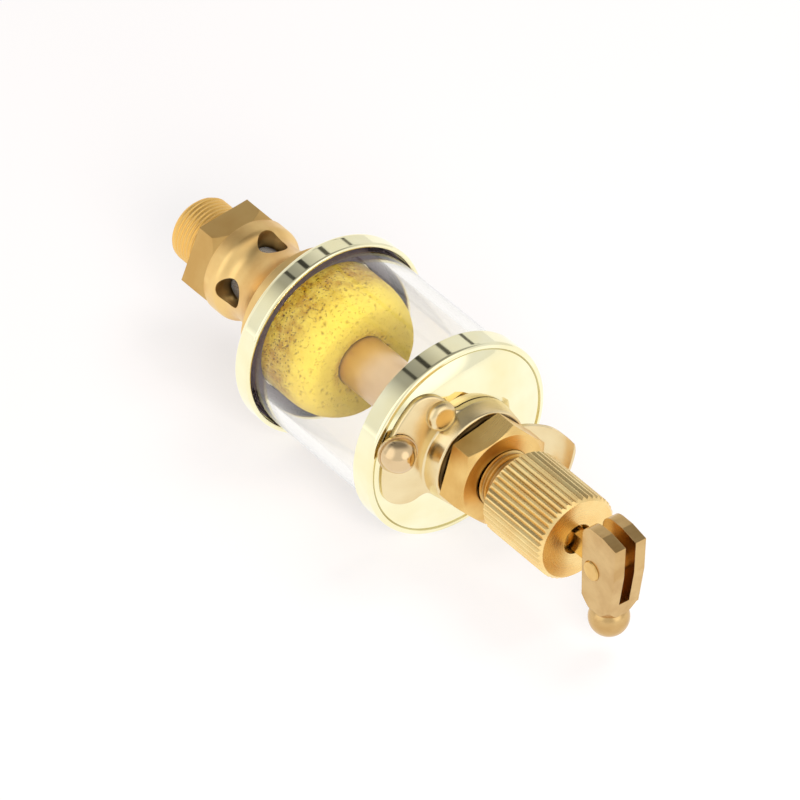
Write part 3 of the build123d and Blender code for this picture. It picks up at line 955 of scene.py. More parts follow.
# ------------------------------------------------------------------------------ threads
@dataclass(frozen=True)
class Thread:
    """A right-handed metric thread along the cup's axis.

    Attributes:
        crest_r: Radius of the crests, in metres.
        low: Height where the thread starts.
        high: Height where it ends.
        pitch: Rise of one turn.
        low_chamfer: Chamfer at the low end.
        high_chamfer: Chamfer at the high end.
        around: Points in one turn.
        depth_share: Depth of the thread over its pitch.
        base_share: Width of the ridge at its base over the pitch.
        top_share: Width of the ridge at its top over the pitch.
        runout_share: Length over which the ridge fades at each end, over the pitch.
        runout_size: Share of its size that the ridge keeps at its very ends.
        sink: How deep the ridge's base lies in the core.
    """

    crest_r: float
    low: float
    high: float
    pitch: float = 1.5 * MM
    low_chamfer: float = 0.0
    high_chamfer: float = 0.0
    around: int = 96
    depth_share: float = 0.56
    base_share: float = 0.9
    top_share: float = 0.16
    runout_share: float = 0.35
    runout_size: float = 0.03
    sink: float = 0.12 * MM

    @property
    def depth(self) -> float:
        """Height of a ridge over the root."""
        return self.depth_share * self.pitch

    @property
    def root_r(self) -> float:
        """Radius of the root."""
        return self.crest_r - self.depth

    def limit(self, z: float) -> float:
        """Gives the largest radius that the chamfers leave at a height.

        Args:
            z: The height.

        Returns:
            The radius, never less than a tenth of the crests'.
        """
        low = self.crest_r - self.low_chamfer + (z - self.low)
        high = self.crest_r - self.high_chamfer + (self.high - z)
        return max(min(self.crest_r, low, high), 0.1 * self.crest_r)

    def tree(self) -> bpy.types.NodeTree:
        """Builds the node tree that sweeps one ridge along a helix and runs it out at both ends.

        Returns:
            A geometry node tree whose inputs are the thread's sizes.
        """
        tree = bpy.data.node_groups.new("thread_ridge", "GeometryNodeTree")
        places = ("Base Radius", "Turns", "Length", "Start")
        for name in places + ("Base Width", "Crest Width", "Height"):
            tree.interface.new_socket(name, in_out="INPUT", socket_type="NodeSocketFloat")
        tree.interface.new_socket("Material", in_out="INPUT", socket_type="NodeSocketMaterial")
        tree.interface.new_socket("Geometry", in_out="OUTPUT", socket_type="NodeSocketGeometry")
        given = add(tree, "NodeGroupInput")
        helix = add(
            tree,
            "GeometryNodeCurveSpiral",
            {
                "Resolution": self.around,
                "Rotations": given.outputs["Turns"],
                "Start Radius": given.outputs["Base Radius"],
                "End Radius": given.outputs["Base Radius"],
                "Height": given.outputs["Length"],
                # Blender's spiral turns clockwise as it rises, so a right-handed one is reversed
                "Reverse": True,
            },
        )
        lift = add(tree, "ShaderNodeCombineXYZ", {"Z": given.outputs["Start"]})
        placed = add(
            tree,
            "GeometryNodeTransform",
            {"Geometry": helix.outputs[0], "Translation": lift.outputs[0]},
        )
        upright = add(
            tree, "GeometryNodeSetCurveNormal", {"Curve": placed.outputs[0]}, mode="Z_UP"
        )
        where = add(tree, "GeometryNodeSplineParameter")
        runout = self.runout_share * self.pitch / (self.high - self.low)
        rise = add(
            tree,
            "ShaderNodeMapRange",
            {"Value": where.outputs["Factor"], "From Max": runout, "To Min": self.runout_size},
        )
        fall = add(
            tree,
            "ShaderNodeMapRange",
            {
                "Value": where.outputs["Factor"],
                "From Min": 1 - runout,
                "From Max": 1.0,
                "To Min": 1.0,
                "To Max": self.runout_size,
            },
        )
        fade = add(
            tree, "ShaderNodeMath", {0: rise.outputs[0], 1: fall.outputs[0]}, operation="MINIMUM"
        )
        ridge = add(
            tree,
            "GeometryNodeCurvePrimitiveQuadrilateral",
            {
                "Bottom Width": given.outputs["Base Width"],
                "Top Width": given.outputs["Crest Width"],
                "Height": given.outputs["Height"],
                "Offset": 0.0,
            },
            mode="TRAPEZOID",
        )
        half = add(
            tree, "ShaderNodeMath", {0: given.outputs["Height"], 1: 0.5}, operation="MULTIPLY"
        )
        based = add(tree, "ShaderNodeCombineXYZ", {"Y": half.outputs[0]})
        foot = add(
            tree,
            "GeometryNodeTransform",
            {"Geometry": ridge.outputs[0], "Translation": based.outputs[0]},
        )
        turned = add(
            tree,
            "GeometryNodeTransform",
            {"Geometry": foot.outputs[0], "Rotation": (0.0, 0.0, -math.pi / 2)},
        )
        swept = add(
            tree,
            "GeometryNodeCurveToMesh",
            {
                "Curve": upright.outputs[0],
                "Profile Curve": turned.outputs[0],
                "Scale": fade.outputs[0],
                "Fill Caps": True,
            },
        )
        real = add(tree, "GeometryNodeRealizeInstances", {0: swept.outputs[0]})
        dressed = add(
            tree,
            "GeometryNodeSetMaterial",
            {"Geometry": real.outputs[0], "Material": given.outputs["Material"]},
        )
        add(tree, "NodeGroupOutput", {0: dressed.outputs[0]})
        return tree

    def ridge(self, material: bpy.types.Material) -> bpy.types.Mesh:
        """Sweeps the ridge and returns it as a plain mesh.

        Args:
            material: Finish of the thread.

        Returns:
            A closed mesh of the ridge, with its base sunk in the core.
        """
        length = self.high - self.low
        sizes = {
            "Base Radius": self.root_r - self.sink,
            "Turns": length / self.pitch,
            "Length": length,
            "Start": self.low,
            "Base Width": self.base_share * self.pitch,
            "Crest Width": self.top_share * self.pitch,
            "Height": self.depth + self.sink,
            "Material": material,
        }
        ridge = evaluated("thread_ridge", self.tree(), sizes)
        # the ends and the chamfers cut into the ridge
        for vertex in ridge.vertices:
            reach = math.hypot(vertex.co.x, vertex.co.y)
            vertex.co.z = min(max(vertex.co.z, self.low), self.high)
            share = min(1.0, self.limit(vertex.co.z) / reach)
            vertex.co.x *= share
            vertex.co.y *= share
        return ridge


def threaded_copy(
    node: str, name: str, thread: Thread, material: bpy.types.Material
) -> bpy.types.Object:
    """Copies a node of the model, turns its plain shank down to the root and adds the thread.

    Args:
        node: Node with a plain shank at the thread's crest radius.
        name: Name of the new piece.
        thread: The thread.
        material: Finish of the whole piece.

    Returns:
        The new piece, which stands for the node.
    """
    shape = bmesh.new()
    shape.from_mesh(frame["nodes"][node].data)
    bmesh.ops.remove_doubles(shape, verts=shape.verts, dist=MERGE)
    margin = 0.02 * MM
    for vertex in shape.verts:
        reach = math.hypot(vertex.co.x, vertex.co.y)
        on_shank = thread.low - margin <= vertex.co.z <= thread.high + margin
        if on_shank and thread.root_r < reach <= thread.crest_r + margin:
            vertex.co.x *= thread.root_r / reach
            vertex.co.y *= thread.root_r / reach
    ridge = thread.ridge(material)
    shape.from_mesh(ridge)
    bpy.data.meshes.remove(ridge)
    mesh = bpy.data.meshes.new(name)
    shape.to_mesh(mesh)
    shape.free()
    # the node's stored normals don't fit the merged mesh
    if stored := mesh.attributes.get("custom_normal"):
        mesh.attributes.remove(stored)
    mesh.materials.clear()
    mesh.materials.append(material)
    for face in mesh.polygons:
        face.material_index = 0
    smooth(mesh, crease=20.0)
    piece = show(name, mesh)
    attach(piece, body_of(node))
    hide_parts(node)
    LOG.info("%s stands for %s: %d faces", name, node, len(mesh.polygons))
    return piece


# ------------------------------------------------------------------------------ sub-assemblies
@dataclass
class SightFeed:
    """Stud, hexagon and sight body with the valve seat and the small glass inside it.

    Attributes:
        finish: Finish of the body.
        pitch: Pitch of the stud's fine thread.
        depth_share: Depth of that worn thread over its pitch.
        bar_r: Reach just outside the hexagon's corners.
        waist_r: Radius of the waist.
        drill_shade_start: How far inside the waist the painted shade in the drillings starts.
        drill_shade_black: How far inside the waist the painted shade is black.
        film_gap: Height that the films keep from the hexagon's underside.
    """

    finish: Brass = SATIN
    pitch: float = 1.0 * MM
    depth_share: float = 0.24
    bar_r: float = 11.7 * MM
    waist_r: float = 8.7 * MM
    drill_shade_start: float = 0.25 * MM
    drill_shade_black: float = 2.2 * MM
    film_gap: float = 0.1 * MM

    def films_and_painted_light(self, thread: Thread) -> tuple[FilmAndPaintedLight, ...]:
        """Lays the bands of colour on the body.

        Args:
            thread: The stud's thread.

        Returns:
            The painted reflection in the stud's grooves, the skin on the hexagon and the painted
            shade in the drillings.
        """
        return (
            # grooves as fine as these mirror each other and look warmer than the crests
            FilmAndPaintedLight(
                root_mm=thread.root_r / MM,
                crest_mm=1.02 * thread.crest_r / MM,
                low_mm=thread.low / MM,
                high_mm=-self.film_gap / MM,
                colour="FFCB6C",
                cover=0.9,
            ),
            # the hexagon keeps the brown skin of the bar
            FilmAndPaintedLight(
                root_mm=self.bar_r / MM,
                crest_mm=self.bar_r / MM + 0.2,
                low_mm=0.0,
                high_mm=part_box("sight_seal_lower")[0].z / MM,
                colour="B8904E",
                cover=0.55,
                open_bore=True,
            ),
            # painted shade: the drillings and the bore are coloured near black inside the waist
            FilmAndPaintedLight(
                root_mm=(self.waist_r - self.drill_shade_black) / MM,
                crest_mm=(self.waist_r - self.drill_shade_start) / MM,
                low_mm=self.film_gap / MM,
                high_mm=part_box("seat_gasket")[0].z / MM,
                colour="17100A",
                cover=0.94,
                open_bore=True,
            ),
        )

    def build(self) -> None:
        """Cuts the stud's thread and dresses the pieces."""
        stud = mount("stud")["dims"]
        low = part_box("sight_body")[0].z
        thread = Thread(
            crest_r=stud["r_mm"] * MM,
            low=low,
            high=0.0,
            pitch=self.pitch,
            low_chamfer=-low - stud["length_mm"] * MM,
            depth_share=self.depth_share,
        )
        filmed = replace(self.finish, name="satin_turned_brass_body", films_and_painted_light=self.films_and_painted_light(thread))
        threaded_copy(
            "sight_body", "threaded_sight_body", thread, filmed.material()
        )
        dress("sight_glass", FROSTED_GLASS.material())
        dress("valve_seat", self.finish.material())
        fibre = SEAL_FIBRE.material()
        for node in ("sight_seal_lower", "sight_seal_upper", "seat_gasket"):
            dress(node, fibre)


@dataclass
class FoamBlock:
    """Foam filter: a soft bun of open-cell foam round the centre tube.

    Attributes:
        rows: Rows of points up the hole, to the crown, round the shoulder and down the side.
        around: Points in one row.
        tube_gap: Gap between the hole and the tube.
        hole_start: Height over the foot where the hole's wall starts.
        hole_drop: How far the hole's upper edge lies under the crown.
        crown_out: How far the crown lies outside the middle of the wall.
        side_share: Share of the height, from the foot, where the side is straight.
        pore_depth: Depth of the largest pores.
        wobble_mm: Size of the waves that bend the pattern of the cells.
        bend_mm: How far they bend it.
        swell: How far the foam stands uneven.
        lumps_per_mm: How many of its lumps fit in a millimetre.
        shade_free_share: Share of the height, from the top, without painted shade.
        full_shade_share: Share of the height, from the foot, under full painted shade.
        finish: The foam.
    """

    rows: tuple[int, int, int, int] = (13, 30, 45, 25)
    around: int = 420
    tube_gap: float = 0.05 * MM
    hole_start: float = 2.5 * MM
    hole_drop: float = 0.9 * MM
    crown_out: float = 0.8 * MM
    side_share: float = 0.52
    pore_depth: float = 0.4 * MM
    wobble_mm: float = 1.25
    bend_mm: float = 0.9
    swell: float = 0.3 * MM
    lumps_per_mm: float = 0.22
    shade_free_share: float = 0.12
    full_shade_share: float = 0.3
    finish: OpenCellFoam = OpenCellFoam()

    def profile(self) -> list[tuple[float, float]]:
        """Draws the outline of the bun from the hole over the top to the foot.

        Returns:
            Reach and height of the outline's points.
        """
        low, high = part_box("foam_filter")
        outer = radius("foam_filter")
        inner = radius("centre_tube") + self.tube_gap
        crown_r = (outer + inner) / 2 + self.crown_out
        start_z = low.z + self.hole_start
        hole_z = high.z - self.hole_drop
        side_z = low.z + self.side_share * (high.z - low.z)
        quarter = math.pi / 2
        hole, top, shoulder, side = (steps(count) for count in self.rows)
        points = [(inner, start_z)]
        points += [(inner, start_z + (hole_z - start_z) * t) for t in hole]
        points += [
            (inner + (crown_r - inner) * t, hole_z + (high.z - hole_z) * math.sin(quarter * t))
            for t in top
        ]
        points += [
            (
                crown_r + (outer - crown_r) * math.sin(quarter * t),
                side_z + (high.z - side_z) * math.cos(quarter * t),
            )
            for t in shoulder
        ]
        points += [(outer, side_z + (low.z - side_z) * t) for t in side]
        return points

    def build(self) -> bpy.types.Object:
        """Turns the outline and sinks the pores with geometry nodes.

        Returns:
            The foam as one plain mesh.
        """
        low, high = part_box("foam_filter")
        finish = replace(
            self.finish,
            shade_free_mm=(high.z - self.shade_free_share * (high.z - low.z)) / MM,
            full_shade_mm=(low.z + self.full_shade_share * (high.z - low.z)) / MM,
            hole_mm=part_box("centre_tube")[1].x / MM,
        )
        sizes = {
            "Pore Spacing": finish.pore_mm,
            "Depth": self.pore_depth,
            "Swell": self.swell,
            "Material": finish.material(),
        }
        blank = revolved("foam_blank", self.profile(), self.around)
        made = evaluated("foam_block", self.tree(), sizes, base=blank)
        smooth(made)
        piece = show("foam_block", made)
        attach(piece, body_of("foam_filter"))
        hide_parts("foam_filter")
        LOG.info("foam_block: %d faces", len(made.polygons))
        return piece

    def tree(self) -> bpy.types.NodeTree:
        """Builds the node tree that sinks pores into the foam's skin.

        Returns:
            A geometry node tree with the pores' sizes as its inputs.
        """
        tree = bpy.data.node_groups.new("foam_pores", "GeometryNodeTree")
        tree.interface.new_socket("Geometry", in_out="INPUT", socket_type="NodeSocketGeometry")
        for name in ("Pore Spacing", "Depth", "Swell"):
            tree.interface.new_socket(name, in_out="INPUT", socket_type="NodeSocketFloat")
        tree.interface.new_socket("Material", in_out="INPUT", socket_type="NodeSocketMaterial")
        tree.interface.new_socket("Geometry", in_out="OUTPUT", socket_type="NodeSocketGeometry")
        given = add(tree, "NodeGroupInput")
        place = add(tree, "GeometryNodeInputPosition")
        mm = add(
            tree, "ShaderNodeVectorMath", {0: place.outputs[0], "Scale": 1 / MM}, operation="SCALE"
        )
        scale = add(
            tree, "ShaderNodeMath", {0: 1.0, 1: given.outputs["Pore Spacing"]}, operation="DIVIDE"
        )
        # the cells of real foam are bent out of a regular pattern
        wobble = add(
            tree,
            "ShaderNodeTexNoise",
            {"Vector": mm.outputs[0], "Scale": 1 / self.wobble_mm, "Detail": 2.0},
        )
        bent = add(
            tree,
            "ShaderNodeVectorMath",
            {0: wobble.outputs["Color"], 1: (self.bend_mm,) * 3, 2: mm.outputs[0]},
            operation="MULTIPLY_ADD",
        )
        cells = add(
            tree,
            "ShaderNodeTexVoronoi",
            {"Vector": bent.outputs[0], "Scale": scale.outputs[0]},
        )
        # about a third of the cells stay closed, the others open by different widths
        chance = add(tree, "ShaderNodeSeparateXYZ", {0: cells.outputs["Color"]})
        wide = add(
            tree,
            "ShaderNodeMapRange",
            {"Value": chance.outputs[0], "From Min": 0.35, "From Max": 1.0, "To Max": 0.42},
        )
        bottom = add(
            tree, "ShaderNodeMath", {0: wide.outputs[0], 1: 0.45}, operation="MULTIPLY"
        )
        pit = add(
            tree,
            "ShaderNodeMapRange",
            {
                "Value": cells.outputs["Distance"],
                "From Min": wide.outputs[0],
                "From Max": bottom.outputs[0],
            },
            interpolation_type="SMOOTHSTEP",
        )
        lumps = add(
            tree,
            "ShaderNodeTexNoise",
            {"Vector": mm.outputs[0], "Scale": self.lumps_per_mm, "Detail": 3.0},
        )
        uneven = add(
            tree, "ShaderNodeMath", {0: lumps.outputs["Fac"], 1: 0.5}, operation="SUBTRACT"
        )
        raised = add(
            tree,
            "ShaderNodeMath",
            {0: uneven.outputs[0], 1: given.outputs["Swell"]},
            operation="MULTIPLY",
        )
        sunk = add(
            tree,
            "ShaderNodeMath",
            {0: pit.outputs[0], 1: given.outputs["Depth"]},
            operation="MULTIPLY",
        )
        total = add(
            tree, "ShaderNodeMath", {0: raised.outputs[0], 1: sunk.outputs[0]}, operation="SUBTRACT"
        )
        normal = add(tree, "GeometryNodeInputNormal")
        shift = add(
            tree,
            "ShaderNodeVectorMath",
            {0: normal.outputs[0], "Scale": total.outputs[0]},
            operation="SCALE",
        )
        stored = add(
            tree,
            "GeometryNodeStoreNamedAttribute",
            {"Geometry": given.outputs["Geometry"], "Name": "pore_depth", "Value": pit.outputs[0]},
            data_type="FLOAT",
            domain="POINT",
        )
        moved = add(
            tree,
            "GeometryNodeSetPosition",
            {"Geometry": stored.outputs[0], "Offset": shift.outputs[0]},
        )
        real = add(tree, "GeometryNodeRealizeInstances", {0: moved.outputs[0]})
        dressed = add(
            tree,
            "GeometryNodeSetMaterial",
            {"Geometry": real.outputs[0], "Material": given.outputs["Material"]},
        )
        add(tree, "NodeGroupOutput", {0: dressed.outputs[0]})
        return tree


@dataclass
class Reservoir:
    """Spun caps, gaskets, glass, foam filter and centre tube.

    Attributes:
        caps: Finish of the two caps.
        tube: Finish of the centre tube.
        around: Points round the glass.
    """

    caps: Brass = BRIGHT
    tube: Brass = DRAWN
    around: int = 360

    def glass(self) -> bpy.types.Object:
        """Makes the reservoir glass round enough to look through without kinks.

        Returns:
            The new piece, which stands for the model's glass.
        """
        node = "reservoir_glass"
        low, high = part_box(node)
        outer = radius(node)
        inner = min(math.hypot(v.co.x, v.co.y) for v in frame["nodes"][node].data.vertices)
        wall = [(outer, low.z), (outer, high.z), (inner, high.z), (inner, low.z)]
        mesh = revolved("drawn_glass_tube", wall, self.around)
        mesh.materials.append(CLEAR_GLASS.material())
        smooth(mesh, crease=28.0)
        piece = show("drawn_glass_tube", mesh)
        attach(piece, body_of(node))
        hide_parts(node)
        LOG.info("drawn_glass_tube stands for %s: %d faces", node, len(mesh.polygons))
        return piece

    def build(self) -> None:
        """Dresses the reservoir's pieces and makes the foam."""
        bright = self.caps.material()
        for node in ("bottom_cap", "top_cap"):
            dress(node, bright)
        fibre = OILED_FIBRE.material()
        for node in ("bottom_gasket", "top_gasket"):
            dress(node, fibre)
        self.glass()
        dress("centre_tube", self.tube.material())
        FoamBlock().build()


@dataclass
class NeckStack:
    """Threaded stem with the clamp bush, the lock nut and the cover's spring.

    Attributes:
        crest_r: Radius of the stem's thread.
        chamfer: Chamfer at the stem's mouth.
        finish: Finish of the turned pieces.
    """

    crest_r: float = 6.0 * MM
    chamfer: float = 0.8 * MM
    finish: Brass = TURNED

    def build(self) -> None:
        """Cuts the stem's thread and dresses the stack."""
        thread = Thread(
            crest_r=self.crest_r,
            low=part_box("top_cap")[1].z,
            high=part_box("stem")[1].z,
            high_chamfer=self.chamfer,
        )
        # brown oxide stays in the thread, where no cloth reaches
        oxide = FilmAndPaintedLight(
            root_mm=thread.root_r / MM,
            crest_mm=thread.crest_r / MM,
            low_mm=thread.low / MM,
            high_mm=thread.high / MM,
            colour="7A4A26",
            cover=0.75,
        )
        filmed = replace(self.finish, name="turned_brass_stem", films_and_painted_light=(oxide,))
        threaded_copy("stem", "threaded_stem", thread, filmed.material())
        dress("clamp_bush", self.finish.material())
        dress("lock_nut", DULL.material())
        dress("cover_spring", SHADE_DARK_BRONZE.material())


@dataclass
class Cover:
    """Swivelling cover plate with its knob.

    Attributes:
        plate: Finish of the plate.
        knob: Finish of the knob.
    """

    plate: Brass = PRESSED
    knob: Brass = BUFFED

    def build(self) -> None:
        """Dresses the cover."""
        dress("cover_plate", self.plate.material())
        dress("cover_knob", self.knob.material())


@dataclass
class NeedleValve:
    """Knurled adjusting nut, needle, springs and toggle lever.

    Attributes:
        knurled: Finish of the adjusting nut.
        turned: Finish of the other round pieces.
        milled: Finish of the lever.
        knurl_depth: Depth of the nut's knurling.
        nut_chamfer: Chamfer at the ends of the nut.
    """

    knurled: Brass = KNURLED
    turned: Brass = TURNED
    milled: Brass = MILLED
    knurl_depth: float = 0.42 * MM
    nut_chamfer: float = 0.7 * MM

    def build(self) -> None:
        """Dresses the valve's pieces."""
        low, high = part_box("adjusting_nut")
        crest_r = radius("adjusting_nut")
        # painted shade: the lower half of each groove is coloured browner than the ridges
        knurl_groove_shade = FilmAndPaintedLight(
            root_mm=(crest_r - self.knurl_depth) / MM,
            crest_mm=(crest_r - 0.5 * self.knurl_depth) / MM,
            low_mm=(low.z + self.nut_chamfer) / MM,
            high_mm=(high.z - self.nut_chamfer) / MM,
            colour="D8A85C",
            cover=0.5,
        )
        dress("adjusting_nut", replace(self.knurled, films_and_painted_light=(knurl_groove_shade,)).material())
        material = self.turned.material()
        for node in ("spring_seat", "needle", "needle_collar"):
            dress(node, material)
        dress("lever_pin", DULL.material())
        dress("lever", self.milled.material())
        dress("needle_spring", WIRE.material())


# ------------------------------------------------------------------------------ studio
@dataclass(frozen=True)
class Lamp:
    """Soft square lamp, hung from the middle of the picture in the camera's directions.

    Attributes:
        name: Its name.
        right: Share of the way there that goes to the right.
        up: Share that goes up.
        back: Share that goes towards the lens.
        distance: How far away it hangs.
        size: Its side.
        power: Its power in watts.
    """

    name: str
    right: float
    up: float
    back: float
    distance: float
    size: float
    power: float


@dataclass(frozen=True)
class Window:
    """Bright, soft patch of the room that polished brass mirrors.

    Attributes:
        right: Share of the way there that goes to the right.
        up: Share that goes up.
        back: Share that goes towards the lens.
        spread: Angle from its middle to its outer edge, in degrees.
        gain: Strength that it adds in its middle.
    """

    right: float
    up: float
    back: float
    spread: float
    gain: float


@dataclass(frozen=True)
class Post:
    """Dark upright post of the room that polished brass mirrors.

    Attributes:
        first: Direction round the cup's axis where it starts, in degrees.
        last: Direction where it ends.
        soft: Width of its soft edge, in degrees.
        depth: Share of the light that it takes.
    """

    first: float
    last: float
    soft: float
    depth: float


def band(
    tree: bpy.types.NodeTree, value: bpy.types.NodeSocket, low: float, high: float, soft: float
) -> bpy.types.NodeSocket:
    """Gives 1 between two values, with a soft fall to 0 outside them.

    Args:
        tree: Node tree that gets the nodes.
        value: What is compared.
        low: Where the band starts.
        high: Where it ends.
        soft: Width of the fall.

    Returns:
        Socket with the share.
    """
    off = add(tree, "ShaderNodeMath", {0: value, 1: (low + high) / 2}, operation="SUBTRACT")
    far = add(tree, "ShaderNodeMath", {0: off.outputs[0]}, operation="ABSOLUTE")
    half = (high - low) / 2
    share = add(
        tree,
        "ShaderNodeMapRange",
        {
            "Value": far.outputs[0],
            "From Min": half,
            "From Max": half + soft,
            "To Min": 1.0,
            "To Max": 0.0,
        },
        interpolation_type="SMOOTHSTEP",
    )
    return share.outputs[0]


@dataclass
class Studio:
    """White table, two soft lamps, a white room with darker posts, and a long lens.

    Attributes:
        right: Camera's right in the model's frame.
        down: Camera's down.
        ahead: The way the camera looks.
        aim_offset: Middle of the picture from the middle of the bottom cap's underside.
        width: What the picture takes in at that point.
        lens: Focal length in millimetres.
        table_half: Half the table's side.
        table_colour: Colour of the table, sRGB hex.
        table_white: Share of plain white in the table to the eye; the rest keeps the shadow.
        mirror_white: The same in reflections.
        table_glow: Strength of that white.
        daylight: Strength of the room's light on what it lights.
        gloss_level: Strength of the room in reflections.
        overhead_dim: How much of that is missing overhead.
        post_half: Half the height of the posts, as a share of the way along the axis.
        post_fade: Height over which the posts' ends fade.
        lamps: The lamps: the key up and to the right, and a fill beside the lens.
        windows: The bright windows.
        posts: The dark posts.
    """

    right: Vector = field(default_factory=lambda: Vector((-0.794, 0.0, 0.6076)))
    down: Vector = field(default_factory=lambda: Vector((0.384, 0.775, 0.5019)))
    ahead: Vector = field(default_factory=lambda: Vector((-0.471, 0.632, -0.6156)))
    aim_offset: Vector = field(default_factory=lambda: Vector((5.78, -5.92, 32.57)) * MM)
    width: float = 150.9 * MM
    lens: float = 450.0
    table_half: float = 3.0
    table_colour: str = "F8EFEC"
    table_white: float = 0.62
    mirror_white: float = 0.9
    table_glow: float = 1.04
    daylight: float = 0.45
    gloss_level: float = 0.82
    overhead_dim: float = 0.55
    post_half: float = 0.10
    post_fade: float = 0.08
    lamps: tuple[Lamp, ...] = (
        Lamp("key", right=0.35, up=0.75, back=0.35, distance=0.6, size=0.30, power=1.3),
        Lamp("fill", right=0.2, up=-0.15, back=0.95, distance=0.8, size=0.4, power=6.2),
    )
    windows: tuple[Window, ...] = (
        Window(right=-0.85, up=0.15, back=0.5, spread=48.0, gain=0.5),
        Window(right=0.7, up=-0.1, back=0.7, spread=30.0, gain=0.6),
    )
    posts: tuple[Post, ...] = (
        Post(first=-46.0, last=8.0, soft=10.0, depth=0.36),
        Post(first=20.0, last=22.5, soft=1.5, depth=0.8),
        Post(first=38.0, last=42.0, soft=1.5, depth=0.9),
        Post(first=65.0, last=69.0, soft=1.5, depth=0.9),
        Post(first=96.0, last=99.0, soft=1.5, depth=0.85),
    )

    @property
    def aim(self) -> Vector:
        """Point in the middle of the picture."""
        return Vector((0.0, 0.0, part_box("bottom_cap")[0].z)) + self.aim_offset

    def way(self, to: Lamp | Window) -> Vector:
        """Direction from the middle of the picture to a lamp or a window."""
        return (self.right * to.right - self.down * to.up - self.ahead * to.back).normalized()

    def place_camera(self) -> None:
        """Places the camera."""
        data = bpy.data.cameras.new("long_lens")
        data.lens = self.lens
        data.sensor_width = SENSOR_MM
        data.clip_start, data.clip_end = 0.05, 20.0
        camera = show("long_lens", data)
        distance = self.width * self.lens / SENSOR_MM
        turn = Matrix((self.right, -self.down, -self.ahead)).transposed().to_4x4()
        camera.matrix_world = Matrix.Translation(self.aim - self.ahead * distance) @ turn
        bpy.context.scene.camera = camera

    def table_material(self) -> bpy.types.Material:
        """Builds the white table's material.

        Returns:
            White that keeps a shadow, and is clear from underneath.
        """
        material, tree = new_material("white_table")
        path = add(tree, "ShaderNodeLightPath")
        seen = add(
            tree,
            "ShaderNodeMath",
            {0: path.outputs["Is Camera Ray"], 1: path.outputs["Is Transmission Ray"]},
            operation="MAXIMUM",
        )
        topped = add(
            tree, "ShaderNodeMath", {0: seen.outputs[0], 1: self.table_white}, operation="MULTIPLY"
        )
        share = add(
            tree,
            "ShaderNodeMath",
            {0: path.outputs["Is Glossy Ray"], 1: self.mirror_white, 2: topped.outputs[0]},
            operation="MULTIPLY_ADD",
        )
        plain = add(tree, "ShaderNodeBsdfDiffuse", {"Color": linear(self.table_colour)})
        white = add(tree, "ShaderNodeEmission", {"Color": WHITE, "Strength": self.table_glow})
        front = add(
            tree,
            "ShaderNodeMixShader",
            {0: share.outputs[0], 1: plain.outputs[0], 2: white.outputs[0]},
        )
        side = add(tree, "ShaderNodeNewGeometry")
        clear = add(tree, "ShaderNodeBsdfTransparent")
        both = add(
            tree,
            "ShaderNodeMixShader",
            {0: side.outputs["Backfacing"], 1: front.outputs[0], 2: clear.outputs[0]},
        )
        add(tree, "ShaderNodeOutputMaterial", {"Surface": both.outputs[0]})
        return material

    def lay_table(self) -> None:
        """Lays the table under the rims of the caps, with its face towards the cup."""
        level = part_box("top_cap")[1].y
        half = self.table_half
        square = ((-half, -half), (half, -half), (half, half), (-half, half))
        mesh = bpy.data.meshes.new("table")
        mesh.from_pydata([(x, level, z) for x, z in square], [], [(0, 1, 2, 3)])
        mesh.materials.append(self.table_material())
        table = show("table", mesh)

    def hang_lamps(self) -> None:
        """Hangs the lamps. Metal mirrors the room instead of them."""
        for given in self.lamps:
            data = bpy.data.lights.new(given.name, "AREA")
            data.shape, data.size, data.energy = "SQUARE", given.size, given.power
            lamp = show(given.name, data)
            lamp.visible_glossy = False
            lamp.location = self.aim + self.way(given) * given.distance
            lamp.rotation_euler = (-self.way(given)).to_track_quat("-Z", "Y").to_euler()

    def gloss(self, tree: bpy.types.NodeTree) -> bpy.types.NodeSocket:
        """Strength of the room in reflections: a pale room, dim overhead, with a few dark posts.

        Args:
            tree: World's node tree.

        Returns:
            Socket with the strength.
        """
        way = add(tree, "ShaderNodeTexCoord").outputs["Generated"]
        up, back = -self.down, -self.ahead
        axis = Vector((0.0, 0.0, 1.0))
        facing = (back - axis * back.dot(axis)).normalized()
        to_lens, to_side, along, over, behind = (
            add(
                tree, "ShaderNodeVectorMath", {0: way, 1: tuple(part)}, operation="DOT_PRODUCT"
            ).outputs["Value"]
            for part in (facing, facing.cross(axis), axis, up, back)
        )
        turn = add(tree, "ShaderNodeMath", {0: to_side, 1: to_lens}, operation="ARCTAN2")
        degrees = add(tree, "ShaderNodeMath", {0: turn.outputs[0]}, operation="DEGREES").outputs[0]
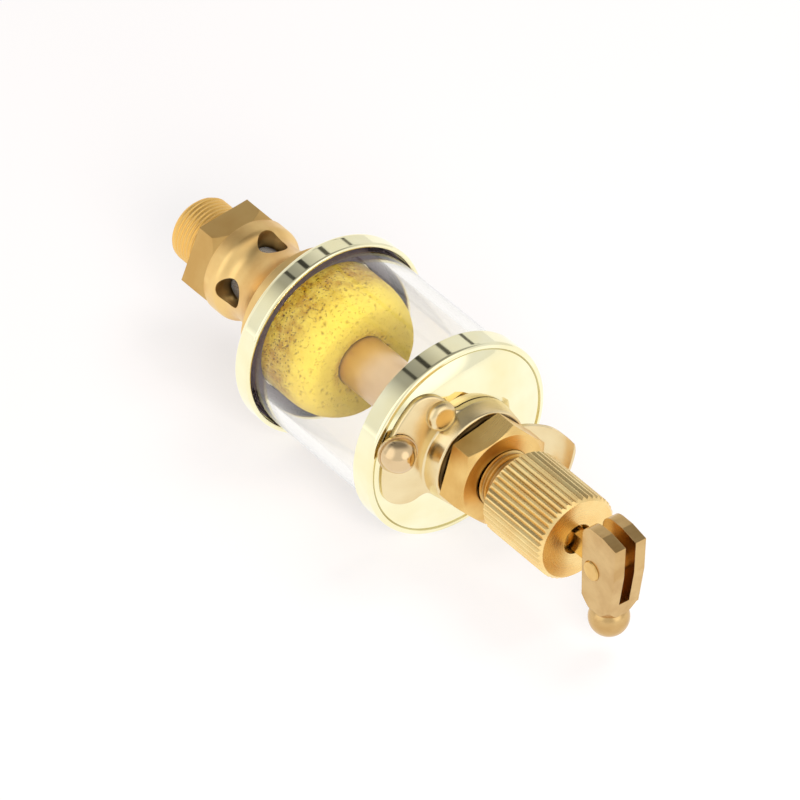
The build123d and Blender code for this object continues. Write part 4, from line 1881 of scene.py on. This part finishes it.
        # a wall along the axis mirrors only this part of the room to the lens
        slope = -back.dot(axis)
        level = band(tree, along, slope - self.post_half, slope + self.post_half, self.post_fade)
        high_up = add(
            tree,
            "ShaderNodeMapRange",
            {"Value": over, "From Min": 0.4, "From Max": 0.8},
            interpolation_type="SMOOTHSTEP",
        )
        near = add(
            tree,
            "ShaderNodeMapRange",
            {"Value": behind, "From Min": -0.2, "From Max": 0.25},
            interpolation_type="SMOOTHSTEP",
        )
        dim = add(
            tree,
            "ShaderNodeMath",
            {0: high_up.outputs[0], 1: near.outputs[0]},
            operation="MULTIPLY",
        )
        strength = add(
            tree,
            "ShaderNodeMath",
            {0: dim.outputs[0], 1: -self.overhead_dim, 2: self.gloss_level},
            operation="MULTIPLY_ADD",
        ).outputs[0]
        for window in self.windows:
            toward = add(
                tree,
                "ShaderNodeVectorMath",
                {0: way, 1: tuple(self.way(window))},
                operation="DOT_PRODUCT",
            )
            glow = add(
                tree,
                "ShaderNodeMapRange",
                {
                    "Value": toward.outputs["Value"],
                    "From Min": math.cos(math.radians(window.spread)),
                    "From Max": math.cos(math.radians(0.45 * window.spread)),
                    "To Max": window.gain,
                },
                interpolation_type="SMOOTHSTEP",
            )
            strength = add(
                tree, "ShaderNodeMath", {0: strength, 1: glow.outputs[0]}, operation="ADD"
            ).outputs[0]
        for post in self.posts:
            across = band(tree, degrees, post.first, post.last, post.soft)
            hidden = add(tree, "ShaderNodeMath", {0: across, 1: level}, operation="MULTIPLY")
            kept = add(
                tree,
                "ShaderNodeMath",
                {0: hidden.outputs[0], 1: -post.depth, 2: 1.0},
                operation="MULTIPLY_ADD",
            )
            strength = add(
                tree, "ShaderNodeMath", {0: strength, 1: kept.outputs[0]}, operation="MULTIPLY"
            ).outputs[0]
        return strength

    def furnish_room(self) -> None:
        """Makes the room: white to the eye, a soft light, and to gloss a room with dark posts."""
        world = bpy.data.worlds.new("white_room")
        bpy.context.scene.world = world
        world.use_nodes = True
        tree = world.node_tree
        tree.nodes.clear()
        path = add(tree, "ShaderNodeLightPath")
        strength = self.gloss(tree)
        gloss = add(tree, "ShaderNodeBackground", {"Color": WHITE, "Strength": strength})
        soft = add(tree, "ShaderNodeBackground", {"Color": WHITE, "Strength": self.daylight})
        white = add(tree, "ShaderNodeBackground", {"Color": WHITE, "Strength": 1.0})
        lit = add(
            tree,
            "ShaderNodeMixShader",
            {0: path.outputs["Is Glossy Ray"], 1: soft.outputs[0], 2: gloss.outputs[0]},
        )
        seen = add(
            tree,
            "ShaderNodeMath",
            {0: path.outputs["Is Camera Ray"], 1: path.outputs["Is Transmission Ray"]},
            operation="MAXIMUM",
        )
        final = add(
            tree,
            "ShaderNodeMixShader",
            {0: seen.outputs[0], 1: lit.outputs[0], 2: white.outputs[0]},
        )
        add(tree, "ShaderNodeOutputWorld", {"Surface": final.outputs[0]})

    def build(self) -> None:
        """Sets up the whole studio."""
        self.place_camera()
        self.lay_table()
        self.hang_lamps()
        self.furnish_room()
        bpy.context.scene.view_settings.view_transform = "Standard"


def main() -> None:
    """Builds and dresses every sub-assembly in order, then the studio."""
    logging.basicConfig(level=logging.INFO, format="%(name)s: %(message)s")
    for part in (SightFeed(), Reservoir(), NeckStack(), Cover(), NeedleValve(), Studio()):
        LOG.info("building %s", type(part).__name__)
        part.build()


if __name__ == "__main__":
    main()
